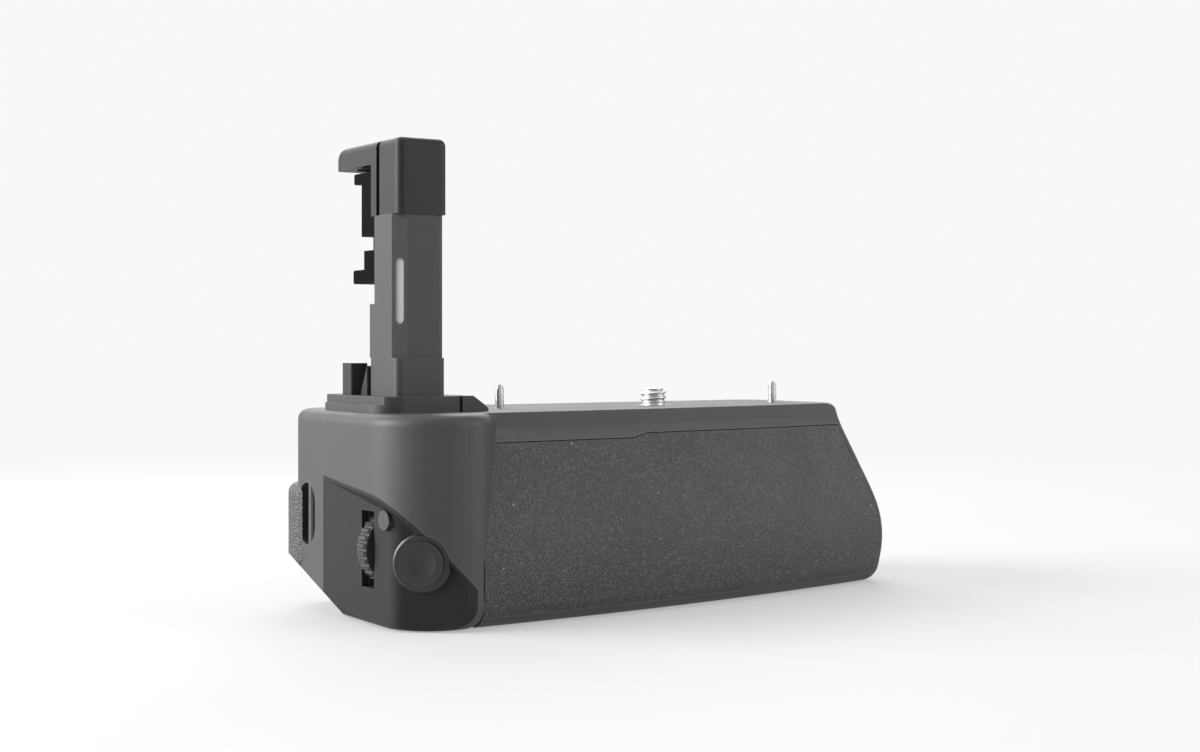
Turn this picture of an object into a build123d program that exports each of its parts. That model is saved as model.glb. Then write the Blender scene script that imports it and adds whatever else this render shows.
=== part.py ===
from build123d import *
import math
import os

# Vertical battery grip that screws under a camera. Millimetres.
# The origin is the mouth of the tripod socket in the base, on the axis of the attachment screw.
# +Z is up towards the camera, -Y is the front with the rubber grip, -X is the end with the controls.

os.makedirs("parts", exist_ok=True)

# Overall sizes
left_reach = 84.0
front_arc_radius = 585.0
band_front = 22.5
head_front = 31.0
stem_height = 59.7
shell_split_y = 7.7

# Walls, clearances and shared small sizes
wall = 2.0
rubber = 1.6
fit = 0.05
gap = 0.3
seam_gap = 0.2
overrun = 6.0
edge_break = 0.4

# Battery magazine: two packs end to end on a tray behind the right end cap
battery_length = 56.8
battery_width = 38.2
battery_height = 21.0
battery_corner = 2.0
tray_start_inset = 19.7
tray_start_x = tray_start_inset - left_reach
tray_front_y = -12.1
tray_floor_z = 5.0
tray_floor = 0.6
tray_wall = 0.8
tray_end_thickness = 2.4
tray_wall_top_drop = 4.6
tray_divider = 0.6
tray_divider_rise = 7.4
tray_end_drop = 1.6
tray_window_share = 0.6
battery_front_y = tray_front_y + tray_wall + fit
battery_floor_z = tray_floor_z + tray_floor
battery_top_z = battery_floor_z + battery_height
tray_wall_top = battery_top_z - tray_wall_top_drop
tray_divider_top = battery_floor_z + tray_divider_rise
tray_end_top = battery_top_z - tray_end_drop
tray_back_y = battery_front_y + battery_width + fit + tray_wall
inner_battery_x = tray_start_x + tray_wall + fit
divider_x = inner_battery_x + battery_length + fit
outer_battery_x = divider_x + tray_divider + fit
tray_end_x = outer_battery_x + battery_length + fit
battery_contact_depth = 1.0
battery_contact_width = 9.0
battery_contact_height = 4.0

# The casing is as long, wide and high as the packs, the drive above them and the walls ask
cap_length = 11.0
chassis_wall = 1.5
bay_headroom = 2.6
drive_space = 12.8
body_back_margin = 2.7
seat_back_margin = 3.3
head_back_step = 0.7
right_reach = tray_end_x + cap_length
chassis_roof_z = battery_top_z + bay_headroom
chassis_roof_top = chassis_roof_z + chassis_wall
seat_height = chassis_roof_top + drive_space + wall
body_back = tray_back_y + body_back_margin
seat_back = tray_back_y - seat_back_margin
head_back = body_back + head_back_step
stem_top_z = seat_height + stem_height

# The front is one gentle arc in plan, struck from a centre far behind the grip.
front_centre_y = front_arc_radius - band_front
front_arc_inset = 20.0
front_arc_x = front_arc_inset - left_reach

# Seam between the smooth band and the rubber: it steps up a little towards the right.
band_height = 6.4
seam_low = seat_height - band_height
seam_step = 1.0
seam_step_x = -20.0
seam_step_run = 4.0
seam_high = seam_low + seam_step
rubber_foot_share = 0.5

# Cross-section of the long body: how far the skin stands out from the band and from the seat's back
swell = 8.4
swell_z = 16.0
swell_foot = 7.0
swell_radius = 45.0
band_radius = 12.0
rear_swell = 6.5
rear_swell_rise = 0.4
rear_swell_z = battery_top_z + rear_swell_rise
rear_foot = 5.7
rear_radius = 14.0
foot_radius = 5.0

# Outline of the right end, seen from the front
end_top_setback = 11.2
end_top_x = right_reach - end_top_setback
end_bulge_lead = 1.1
end_bulge_x = right_reach + end_bulge_lead
end_bulge_z = 14.0
end_foot_setback = 2.3
end_foot_x = right_reach - end_foot_setback
end_radius = 24.0
end_corner = 6.0
body_join_inset = 22.0
body_join_x = body_join_inset - left_reach
join_y = 0.0

# Left end block, called the head here, that carries the controls
head_corner_front = 15.0
head_corner_back = 12.0
head_front_end_inset = 19.5
head_front_end_x = head_front_end_inset - left_reach
head_neck_inset = 27.0
head_neck_x = head_neck_inset - left_reach
head_back_end_inset = 33.0
head_back_end_x = head_back_end_inset - left_reach
head_back_neck_inset = 39.0
head_back_neck_x = head_back_neck_inset - left_reach
head_cheek_radius = 7.0
head_foot_radius = 5.5
head_brow_radius = 2.4
head_wall_share = 1.3

# Control deck: a facet cut into the front left corner, under a slanted brow
deck_back = (-left_reach, shell_split_y)
deck_bend_inset = 3.0
deck_bend_setback = 10.0
deck_bend = (deck_bend_inset - left_reach, deck_bend_setback - head_front)
deck_front_inset = 16.0
deck_front_lap = 0.2
deck_front = (deck_front_inset - left_reach, -head_front - deck_front_lap)
deck_bend_radius = 5.0
deck_thickness = 1.6
brow_drop = 15.0
brow_height = seat_height - brow_drop
brow_slope = 46.0
brow_droop = 4.0

# Bevel under the left end that grows towards the back
heel_inset = 1.0
heel_setback = 5.4
heel_rise = 10.4
heel_point = (heel_inset - left_reach, head_back - heel_setback, heel_rise)
heel_normal = (1.118, -0.341, 1.0)

# Top plate, let into the band between stem and right end
top_plate_start_inset = 37.5
top_plate_start_x = top_plate_start_inset - left_reach
top_plate_end_setback = 15.9
top_plate_end_x = right_reach - top_plate_end_setback
top_plate_inset = 3.2
top_plate_back_inset = 3.0
top_plate_back = seat_back - top_plate_back_inset
top_plate_corner = 2.5
top_plate_thickness = 1.2

# Base plate with its flange inside the casing
base_thickness = 2.5
base_start_inset = 26.0
base_start_x = base_start_inset - left_reach
base_end_setback = 14.9
base_end_x = right_reach - base_end_setback
base_proud = 1.8
base_back_inset = 5.0
base_back = body_back - base_back_inset
base_corner = 4.0
base_flange = 1.0
base_lap = 1.2

# Tripod socket: 1/4 inch, 20 threads to the inch
socket_bore_radius = 2.6
socket_outer_radius = 5.0
socket_flange_radius = 7.0
socket_length = 4.9

# Right end cap: its seam is an arc seen from the front
cap_top_rise = 2.2
cap_top_z = battery_top_z + cap_top_rise
cap_top_setback = 8.3
cap_top_x = right_reach - cap_top_setback
cap_middle_setback = 3.5
cap_middle_x = right_reach - cap_middle_setback
cap_middle_z = 15.0
cap_foot_setback = 8.7
cap_foot_x = right_reach - cap_foot_setback

# Passage in the casing that the magazine slides through
passage_side = 0.3
passage_top = 0.4

# Release knob on the cap, with a tongue that turns into the casing's wall
knob_setback = 14.0
knob_y = body_back - knob_setback
knob_z = 13.0
knob_radius = 8.5
knob_pocket_radius = 9.0
knob_pocket_setback = 3.1
knob_pocket_x = right_reach - knob_pocket_setback
knob_disc = 1.4
knob_bar_width = 3.2
knob_bar_top = 1.6
knob_shaft_radius = 2.5
tongue_thickness = 1.3
tongue_width = 5.0
tongue_reach = 12.9
tongue_shoulder = tongue_reach - tongue_width / 4
tongue_gap = 0.3
tongue_slot_inset = 0.9
tongue_slot_y = body_back - tongue_slot_inset
tongue_sweep_share = 0.42
tongue_setback = 9.2
tongue_x = right_reach - tongue_setback

# Chassis over the battery bay
chassis_start_inset = 17.6
chassis_start_x = chassis_start_inset - left_reach
chassis_end_setback = 17.9
chassis_end_x = right_reach - chassis_end_setback
chassis_front_end_x = 5.0
chassis_inset = 0.9
chassis_back_inset = 3.5
chassis_back = body_back - chassis_back_inset
chassis_corner = 2.0
chassis_front_gap = 1.0

# Attachment drive: a knurled wheel at the back turns the screw through two equal gears
wheel_sink = 1.04
wheel_screw_gap = 0.485
screw_radius = 3.175
wheel_y = (body_back - wheel_sink + screw_radius + wheel_screw_gap) / 2
wheel_radius = wheel_y - screw_radius - wheel_screw_gap
gear_teeth = 18
gear_module = wheel_y / gear_teeth
gear_thickness = 3.0
gear_boss = 0.45
gear_boss_radius = 4.0
gear_tip_share = 0.374
gear_pitch_share = 0.665
gear_root_share = 1.1
gear_addendum_share = 0.8
gear_dedendum_share = 1.2
gear_pitch_radius = gear_module * gear_teeth / 2
screw_top_rise = 4.2
screw_top_z = seat_height + screw_top_rise
screw_chamfer = 0.8
screw_neck_radius = 2.7
screw_neck = 0.8
screw_spigot_radius = 2.0
screw_spigot_length = 1.4
clip_radius = 5.0
clip_thickness = 0.8
bush_outer_radius = 5.0
bush_flange_radius = 6.6
bush_flange = 0.9
wheel_flutes = 36
wheel_flute_radius = 0.55
wheel_top_gap = 2.3
wheel_edge = 0.6
wheel_hub_radius = 4.0
wheel_web = 3.0
wheel_rim = 2.0
wheel_gap = 0.5
axle_radius = 1.6
axle_head_radius = 2.6
axle_head = 0.8
wheel_slot_inset = 1.4
wheel_slot_side = wheel_radius - wheel_slot_inset
wheel_slot_gap = 0.5
gear_floor_z = chassis_roof_top + gear_boss + fit
gear_top_z = gear_floor_z + gear_thickness
wheel_floor_z = gear_top_z + wheel_gap
wheel_top_z = seat_height - wall - wheel_top_gap
wheel_height = wheel_top_z - wheel_floor_z

# Locating pins on the seat
pin_left_inset = 42.0
pin_left_x = pin_left_inset - left_reach
pin_right_setback = 22.9
pin_right_x = right_reach - pin_right_setback
pin_y = 2.4
pin_radius = 1.05
pin_root_radius = 1.4
pin_rise = 5.4
pin_tip = 0.9
pin_flange_radius = 3.0
pin_flange = 1.2

# Circuit board on the chassis
board_start_inset = 22.0
board_start_x = board_start_inset - left_reach
board_end_x = -16.0
board_front_y = -16.0
board_back_y = 20.0
board_thickness = 1.6
board_standoff = 1.0
board_standoff_radius = 2.0
board_corner = 1.0
board_post_inset = 3.0
board_socket_length = 9.0
board_socket_width = 4.0
board_socket_height = 3.0
board_socket_inset = 34.0
board_socket_x = board_socket_inset - left_reach
board_socket_y = 8.0

# Contact block of the bay and contact strip of the magazine
contact_y = 8.0
contact_z = 15.0
contact_width = 16.0
contact_height = 7.0
contact_depth = 4.0
contact_strip = 0.5
contact_blades = 4
contact_blade = 1.6
contact_blade_height = 5.0
contact_blade_depth = 0.15

# Screws of the base plate
base_screw_start_inset = 10.0
base_screw_end_inset = 3.0
base_screw_front_inset = 6.5
base_screw_back_inset = 3.5
base_screw_columns = 3
base_screw_front_y = base_screw_front_inset - band_front
base_screw_back_y = base_back - base_screw_back_inset
base_screw_head_radius = 2.0
base_screw_head = 1.2
base_screw_recess_width = 0.4
base_screw_recess_depth = 0.6
base_screw_sunk = 0.3
base_screw_shank_radius = 1.0

# Main dial in its slot on the left end
dial_inset = 8.3
dial_x = dial_inset - left_reach
dial_y = -11.2
dial_z = 16.5
dial_radius = 8.2
dial_width = 4.2
dial_flutes = 30
dial_flute_radius = 0.5
dial_edge = 0.5
dial_axle_radius = 1.5
dial_slot_gap = 0.4
dial_slot_height = 16.4
bracket_wall = 1.0
bracket_end_inset = 17.4
bracket_end_x = bracket_end_inset - left_reach
bracket_height = 19.6

# Shutter button on the front facet
shutter_inset = 8.0
shutter_x = shutter_inset - left_reach
shutter_setback = 6.1
shutter_y = shutter_setback - head_front
shutter_z = 14.5
shutter_radius = 4.7
shutter_collar_radius = 6.2
shutter_collar_rise = 1.0
shutter_rise = 1.5
shutter_travel = 1.2
shutter_dish_radius = 12.0
shutter_dish_depth = 0.4
shutter_stem_radius = 2.2
shutter_body = 2.2
shutter_stem = 1.6
shutter_cup_floor = 1.0
switch_size = 6.0
switch_thickness = 1.5
shutter_tilt_x = -0.617
shutter_tilt_y = -0.787

# Small function button above the dial
function_y = -18.5
function_z = 23.2
function_radius = 2.1
function_rise = 0.7
function_travel = 0.5
function_depth = 4.0
function_flange_radius = 2.5
function_flange = 0.6
function_cup_radius = 3.1
function_cup_floor = 0.6

# Strap bar in an oval recess
strap_setback = 14.6
strap_y = head_back - strap_setback
strap_z = 22.0
strap_width = 9.0
strap_height = 14.0
strap_depth = 4.6
strap_wall = 1.2
strap_bar_radius = 1.0
strap_bar_inset = 0.5
strap_bar_bite = 0.8

# Thumb rest rubber round the rear left corner
thumb_floor_z = 8.6
thumb_top_z = 28.5
thumb_shift = 4.0
thumb_round = 2.4

# Controls on the rear
rear_button_radius = 2.9
rear_button_rise = 1.1
rear_button_travel = 0.6
rear_button_flange = 0.6
rear_button_flange_rim = 0.5
rear_button_drop = 10.5
rear_button_z = seat_height - rear_button_drop
rear_button_inset = 14.6
rear_button_x = rear_button_inset - left_reach
rear_button_pitch = 7.6
rear_buttons = 3
rear_cup_radius = rear_button_radius + rear_button_flange_rim + fit
rear_switch_depth = 1.8
rear_wall_depth = 1.2
stick_inset = 24.0
stick_x = stick_inset - left_reach
stick_z = 21.5
stick_pivot_depth = 1.8
stick_foot_radius = 2.4
stick_foot = 0.8
stick_neck_radius = 1.5
stick_cap_radius = 3.6
stick_cap_floor = 1.1
stick_cap = 1.4
stick_tilt_gap = 0.5
stick_base_radius = 5.6
stick_base_rise = 0.5
stick_base_depth = 3.1
stick_base_floor = 0.4
lever_inset = 22.0
lever_x = lever_inset - left_reach
lever_z = 9.6
lever_radius = 4.6
lever_thickness = 1.4
lever_nose = 7.4
lever_nose_radius = 1.6
lever_pivot_radius = 1.5
lever_pivot = 2.6

# Stem base: an island round the foot of the stem
island_start_inset = 3.0
island_start_x = island_start_inset - left_reach
island_end_inset = 30.0
island_end_x = island_end_inset - left_reach
island_front_y = -15.0
island_back_y = 18.0
island_top_rise = 3.5
island_top_z = seat_height + island_top_rise
island_slope = 5.0
island_round = 6.0
island_step_inset = 4.8
island_step_x = island_step_inset - left_reach
island_notch_inset = 22.5
island_notch_x = island_notch_inset - left_reach
island_notch = 0.8
island_end_round = 1.6
collar_start_inset = 8.2
collar_start_x = collar_start_inset - left_reach
collar_end_inset = 20.2
collar_end_x = collar_end_inset - left_reach
collar_front_y = -12.4
collar_back_y = 1.5
collar_top_rise = 11.8
collar_top_z = seat_height + collar_top_rise
collar_round = 1.4

# Stem that goes into the camera's battery well
stem_start_inset = 8.4
stem_start_x = stem_start_inset - left_reach
stem_end_inset = 19.9
stem_end_x = stem_end_inset - left_reach
stem_front_y = -12.0
stem_back_y = 1.4
stem_back_step_rise = 23.7
stem_back_step_z = seat_height + stem_back_step_rise
stem_back_step = 2.4
stem_wall = 1.2
stem_round = 1.2
stem_cover_thickness = 1.0
stem_slot_width = 2.0
stem_slot_floor_rise = 19.2
stem_slot_floor_z = seat_height + stem_slot_floor_rise
stem_slot_top_drop = 26.2
stem_slot_top_z = stem_top_z - stem_slot_top_drop
stem_bevel = 2.4
stem_slot_depth = 1.0
stem_strip_thickness = 0.6
stem_board_y = -6.0
stem_board_thickness = 1.2

# Head of the stem, with its contacts and the arm towards the back
cap_block_start_inset = 8.5
cap_block_start_x = cap_block_start_inset - left_reach
cap_block_end_inset = 20.6
cap_block_end_x = cap_block_end_inset - left_reach
cap_block_front_y = -12.5
cap_block_back_y = 1.0
cap_block_floor_drop = 16.6
cap_block_floor_z = stem_top_z - cap_block_floor_drop
cap_block_round = 1.6
arm_back_y = 19.6
arm_floor_drop = 5.1
arm_floor_z = stem_top_z - arm_floor_drop
arm_round = 3.0
block_groove_width = 1.6
block_groove_depth = 0.8
block_groove_y = -2.5
terminal_width = 1.1
terminal_height = 6.0
terminal_depth = 0.8
terminal_pitch = 2.4
terminals = 4

# Holder on the stem's back for the camera's battery door
holder_start_inset = 9.0
holder_start_x = holder_start_inset - left_reach
holder_end_inset = 18.0
holder_end_x = holder_end_inset - left_reach
holder_floor_drop = 31.3
holder_floor_z = stem_top_z - holder_floor_drop
holder_foot_top_drop = 28.2
holder_foot_top_z = stem_top_z - holder_foot_top_drop
holder_foot_y = 11.2
holder_lug_top_drop = 24.0
holder_lug_top_z = stem_top_z - holder_lug_top_drop
holder_lug_y = 5.6
holder_spine_y = 0.8
holder_bar_floor_drop = 20.8
holder_bar_floor_z = stem_top_z - holder_bar_floor_drop
holder_bar_top_drop = 8.9
holder_bar_top_z = stem_top_z - holder_bar_top_drop
holder_bar_y = 6.9
holder_hook_top_drop = 6.5
holder_hook_top_z = stem_top_z - holder_hook_top_drop
holder_hook_y = 10.8
holder_neck_y = 2.2
holder_blade_floor_drop = 5.9
holder_blade_floor_z = stem_top_z - holder_blade_floor_drop
holder_blade_top_drop = 5.4
holder_blade_top_z = stem_top_z - holder_blade_top_drop
holder_blade_y = 9.2
holder_round = 0.6

# Connector post and its gusset beside the stem
post_start_inset = 5.8
post_start_x = post_start_inset - left_reach
post_end_inset = 10.0
post_end_x = post_end_inset - left_reach
post_front_y = 5.6
post_back_y = 10.4
post_top_rise = 10.6
post_top_z = seat_height + post_top_rise
post_round = 0.5
post_contact = 0.3
post_contact_inset = 1.0
gusset_inset = 8.6
gusset_x = gusset_inset - left_reach
gusset_thickness = 1.6
gusset_reach = 3.6
gusset_top_rise = 10.0
gusset_top_z = seat_height + gusset_top_rise


def front_y(x, proud=0.0):
    """Where the band's front lies at x, moved out by proud."""
    reach = front_arc_radius + proud
    return front_centre_y - math.sqrt(reach**2 - (x - front_arc_x) ** 2)


def front_section(inset, top_z, floor_z):
    """The front half of the body's cross-section at the start of the arc, drawn in by inset."""
    with BuildSketch(Plane.YZ.offset(front_arc_x)) as section:
        with BuildLine():
            FilletPolyline(
                (join_y + inset, top_z + inset),
                (-band_front, top_z + inset),
                (-band_front, seam_high),
                (-band_front - swell, swell_z),
                (-band_front - swell_foot, floor_z - inset),
                (join_y + inset, floor_z - inset),
                radius=(0, band_radius, swell_radius, 0),
            )
            Line((join_y + inset, floor_z - inset), (join_y + inset, top_z + inset))
        make_face()
        if inset:
            offset(amount=-inset, kind=Kind.INTERSECTION)
    return section.sketch


def rear_section(inset, top_z, floor_z):
    """The rear half of the body's cross-section, drawn in by inset."""
    with BuildSketch(Plane.YZ.offset(body_join_x)) as section:
        with BuildLine():
            FilletPolyline(
                (join_y - inset, top_z + inset),
                (seat_back, top_z + inset),
                (seat_back + rear_swell, rear_swell_z),
                (seat_back + rear_foot, floor_z - inset),
                (join_y - inset, floor_z - inset),
                radius=(0, rear_radius, 0),
            )
            Line((join_y - inset, floor_z - inset), (join_y - inset, top_z + inset))
        make_face()
        if inset:
            offset(amount=-inset, kind=Kind.INTERSECTION)
    return section.sketch


end_slope = (end_bulge_x - end_top_x) / (seat_height - end_bulge_z)


def end_section(inset, floor_z):
    """The outline of the long body seen from the front, drawn in by inset at its right end."""
    start_x = body_join_x - inset - overrun
    with BuildSketch(Plane.XZ.offset(left_reach)) as section:
        with BuildLine():
            FilletPolyline(
                (start_x, seat_height + overrun),
                (end_top_x - overrun * end_slope, seat_height + overrun),
                (end_bulge_x, end_bulge_z),
                (end_foot_x, floor_z - inset),
                (start_x, floor_z - inset),
                radius=(0, end_radius, 0),
            )
            Line((start_x, floor_z - inset), (start_x, seat_height + overrun))
        make_face()
        if inset:
            offset(amount=-inset, kind=Kind.INTERSECTION)
    return section.sketch


def body_form(front_inset, rear_inset, end_inset, top_z, floor_z):
    """The long body without the head, drawn in from its skin by the insets, with square end corners."""
    sweep_angle = math.degrees(math.asin((right_reach + overrun - front_arc_x) / front_arc_radius))
    with BuildPart() as form:
        revolve(
            profiles=front_section(front_inset, top_z, floor_z).faces(),
            axis=Axis((front_arc_x, front_centre_y, 0), (0, 0, 1)),
            revolution_arc=sweep_angle,
        )
        extrude(
            to_extrude=rear_section(rear_inset, top_z, floor_z).faces()[0],
            amount=right_reach + overrun - body_join_x,
        )
        extrude(
            to_extrude=end_section(end_inset, floor_z).faces()[0],
            amount=-left_reach * 2,
            mode=Mode.INTERSECT,
        )
    return form.part


def end_corner_edges(form):
    """The edges where the right end meets the front and the rear."""
    upright = form.edges().filter_by(lambda e: e.bounding_box().size.Z > edge_break)
    right = upright.filter_by(lambda e: e.center().X > end_top_x - wall)
    return right.filter_by(lambda e: e.bounding_box().size.Y < end_radius / 2)


def foot_edges(form):
    """The edges round the bottom of the body, without the one at its left end."""
    low = form.edges().filter_by(lambda e: e.bounding_box().max.Z < edge_break)
    return low.filter_by(lambda e: e.center().X > body_join_x + edge_break)


def plan_outline(z, start_x, end_x, proud, back_y, corner):
    """A flat outline at height z whose front follows the arc, moved out by proud."""
    middle_x = (start_x + end_x) / 2
    front_end = (end_x, front_y(end_x, proud))
    front_start = (start_x, front_y(start_x, proud))
    with BuildSketch(Plane.XY.offset(z)) as outline:
        with BuildLine():
            ThreePointArc(front_start, (middle_x, front_y(middle_x, proud)), front_end)
            Polyline(front_end, (end_x, back_y), (start_x, back_y), front_start)
        make_face()
        fillet(outline.vertices(), corner)
    return outline.sketch


def head_outline(z, amount):
    """The head's outline at height z, moved out by amount, or in where amount is negative."""
    neck_y = front_y(head_neck_x)
    with BuildSketch(Plane.XY.offset(z)) as outline:
        with BuildLine():
            Polyline(
                (head_back_neck_x, body_back),
                (head_back_end_x, head_back),
                (-left_reach, head_back),
                (-left_reach, -head_front),
                (head_front_end_x, -head_front),
                (head_neck_x, neck_y),
                (head_back_neck_x, neck_y + wall),
                (head_back_neck_x, body_back),
            )
        make_face()
        fillet(outline.vertices().group_by(Axis.X)[0].sort_by(Axis.Y)[0], head_corner_front)
        fillet(outline.vertices().group_by(Axis.X)[0].sort_by(Axis.Y)[-1], head_corner_back)
        fillet(outline.vertices().group_by(Axis.Y)[0].sort_by(Axis.X)[-1], head_cheek_radius)
        if amount:
            offset(amount=amount, kind=Kind.INTERSECTION)
    return outline.sketch


def heel_plane(inset):
    """The plane of the bevel under the left end, moved inwards by inset."""
    plane = Plane(origin=heel_point, z_dir=heel_normal)
    return plane.offset(inset)


def outside_deck(inset):
    """The solid outside the deck's facets and under the brow, grown towards the inside by inset."""
    far = overrun * 3
    fall = (deck_bend[1] - deck_front[1]) / (deck_front[0] - deck_bend[0])
    with BuildPart() as outside:
        with BuildSketch(Plane.XY.offset(-overrun)) as plan:
            with BuildLine():
                Polyline(
                    deck_back,
                    deck_bend,
                    deck_front,
                    (deck_front[0] + far, deck_front[1] - far * fall),
                    (deck_front[0] + far, -head_front - far * 2),
                    (-left_reach - far, -head_front - far * 2),
                    (-left_reach - far, deck_back[1]),
                    deck_back,
                )
            make_face()
            bend = (deck_bend[0], deck_bend[1], -overrun)
            fillet(plan.vertices().sort_by_distance(bend)[0], deck_bend_radius)
            if inset:
                offset(amount=inset, kind=Kind.INTERSECTION)
        extrude(amount=seat_height + overrun * 2)
        tilt = math.radians(brow_slope)
        droop = math.radians(brow_droop)
        split(
            bisect_by=Plane(
                origin=(-left_reach, shell_split_y, brow_height + inset / 2),
                z_dir=(math.sin(tilt), -math.sin(droop), math.cos(tilt)),
            ),
            keep=Keep.BOTTOM,
        )
        if inset:
            split(bisect_by=Plane.XZ.offset(-shell_split_y), keep=Keep.TOP)
    return outside.part


# Outer form of the casing, cut up into its pieces further down
body = body_form(0, 0, 0, seat_height, 0)
with BuildPart() as body_block:
    add(body)
    fillet(end_corner_edges(body_block), end_corner)
    fillet(foot_edges(body_block), foot_radius)

with BuildPart() as head_block:
    extrude(to_extrude=head_outline(0, 0).faces()[0], amount=seat_height)
    fillet(head_block.faces().sort_by(Axis.Z)[0].edges().sort_by(Axis.X)[0], head_foot_radius)
    fillet(head_block.faces().sort_by(Axis.Z)[-1].edges().sort_by(Axis.X)[0], head_brow_radius)
    split(bisect_by=heel_plane(0), keep=Keep.TOP)

deck_cut = outside_deck(0)
with BuildPart() as outer_form:
    add(body_block.part)
    add(head_block.part)
    add(deck_cut, mode=Mode.SUBTRACT)


def block(x_start, x_end, y_start, y_end, z_start, z_end, corner=0.0):
    """An upright block between the given faces, with its upright corners rounded."""
    with BuildPart() as made:
        with BuildSketch(Plane.XY.offset(z_start)) as face:
            with Locations(((x_start + x_end) / 2, (y_start + y_end) / 2)):
                Rectangle(x_end - x_start, y_end - y_start)
            if corner:
                fillet(face.vertices(), corner)
        extrude(amount=z_end - z_start)
    return made.part


def post(plane, radius, length):
    """A round bar from a plane along its normal."""
    with BuildPart() as made:
        with BuildSketch(plane):
            Circle(radius)
        extrude(amount=length)
    return made.part


def finish(builder, name):
    """Label a finished piece and write it."""
    builder.part.label = name
    export_step(builder.part, f"parts/{name}.step")


# Planes of the controls, each with its normal out of the casing
shutter_plane = Plane(
    origin=(shutter_x, shutter_y, shutter_z), x_dir=(0, 0, 1), z_dir=(shutter_tilt_x, shutter_tilt_y, 0)
)
facet_fall = (deck_back[0] - deck_bend[0]) / (deck_back[1] - deck_bend[1])
function_x = deck_bend[0] + (function_y - deck_bend[1]) * facet_fall
function_plane = Plane(
    origin=(function_x, function_y, function_z), x_dir=(0, 0, 1), z_dir=(-1, facet_fall, 0)
)
strap_plane = Plane(origin=(-left_reach, strap_y, strap_z), x_dir=(0, 0, 1), z_dir=(-1, 0, 0))
rear_button_planes = [
    Plane(
        origin=(rear_button_x + rear_button_pitch * n, head_back, rear_button_z),
        x_dir=(1, 0, 0),
        z_dir=(0, 1, 0),
    )
    for n in range(rear_buttons)
]
stick_plane = Plane(origin=(stick_x, head_back, stick_z), x_dir=(1, 0, 0), z_dir=(0, 1, 0))
lever_plane = Plane(origin=(lever_x, head_back, lever_z), x_dir=(1, 0, 0), z_dir=(0, 1, 0))
knob_plane = Plane(origin=(knob_pocket_x, knob_y, knob_z), x_dir=(0, 1, 0), z_dir=(1, 0, 0))
inner_deck = deck_thickness + wall
shutter_cup_depth = shutter_body + shutter_stem + shutter_travel + fit + switch_thickness + shutter_cup_floor
top_plate_floor_z = seat_height - top_plate_thickness
top_ledge_z = seat_height - wall


# Region of the right end cap, bounded by its arc seam
def cap_region(grow):
    """Everything to the right of the cap's seam and below its top, grown by a clearance."""
    with BuildPart() as region:
        with BuildSketch(Plane.XZ.offset(-left_reach)):
            with BuildLine():
                ThreePointArc(
                    (cap_foot_x - grow, -overrun),
                    (cap_middle_x - grow, cap_middle_z),
                    (cap_top_x - grow, cap_top_z + grow),
                )
                Polyline(
                    (cap_top_x - grow, cap_top_z + grow),
                    (right_reach + overrun, cap_top_z + grow),
                    (right_reach + overrun, -overrun),
                    (cap_foot_x - grow, -overrun),
                )
            make_face()
        extrude(amount=left_reach * 2)
    return region.part


def skin_region(drop):
    """The window of the front rubber seen from the front: its top edge steps up towards the right."""
    rise_x = (seam_high - drop - cap_top_z) * (end_bulge_x - end_top_x) / (seat_height - end_bulge_z)
    with BuildPart() as region:
        with BuildSketch(Plane.XZ):
            with BuildLine():
                Polyline(
                    (head_front_end_x, foot_radius * rubber_foot_share),
                    (head_front_end_x, seam_low - drop),
                    (seam_step_x, seam_low - drop),
                    (seam_step_x + seam_step_run, seam_high - drop),
                    (cap_top_x - rise_x - drop, seam_high - drop),
                    (cap_top_x - drop, cap_top_z),
                    (right_reach, cap_top_z),
                    (right_reach, foot_radius * rubber_foot_share),
                    (head_front_end_x, foot_radius * rubber_foot_share),
                )
            make_face()
        extrude(amount=left_reach)
    return region.part


# Hollow of the casing
cavity_top_z = seat_height - wall
cavity_body = body_form(rubber + wall, wall, rubber + wall, cavity_top_z, -wall)
deck_hollow_limit = outside_deck(inner_deck)
with BuildPart() as cavity_head:
    extrude(
        to_extrude=head_outline(base_thickness, -wall * head_wall_share).faces()[0],
        amount=cavity_top_z - base_thickness,
    )
    split(bisect_by=heel_plane(wall * head_wall_share), keep=Keep.TOP)
    add(deck_hollow_limit, mode=Mode.SUBTRACT)
with BuildPart() as cavity:
    add(cavity_body)
    add(cavity_head.part)
    add(
        block(-left_reach, right_reach + overrun, -left_reach, left_reach, base_thickness, cavity_top_z),
        mode=Mode.INTERSECT,
    )

# Front rubber, and the recess it lies in
core = body_form(rubber, 0, 0, seat_height + overrun, -overrun)
with BuildPart() as front_grip_rubber:
    add(body_block.part)
    add(core, mode=Mode.SUBTRACT)
    add(skin_region(seam_gap), mode=Mode.INTERSECT)
    add(head_block.part, mode=Mode.SUBTRACT)
    add(cap_region(seam_gap), mode=Mode.SUBTRACT)
with BuildPart() as rubber_recess:
    add(body_block.part)
    add(core, mode=Mode.SUBTRACT)
    add(skin_region(0), mode=Mode.INTERSECT)
    add(head_block.part, mode=Mode.SUBTRACT)
finish(front_grip_rubber, "front_grip_rubber")


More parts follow.
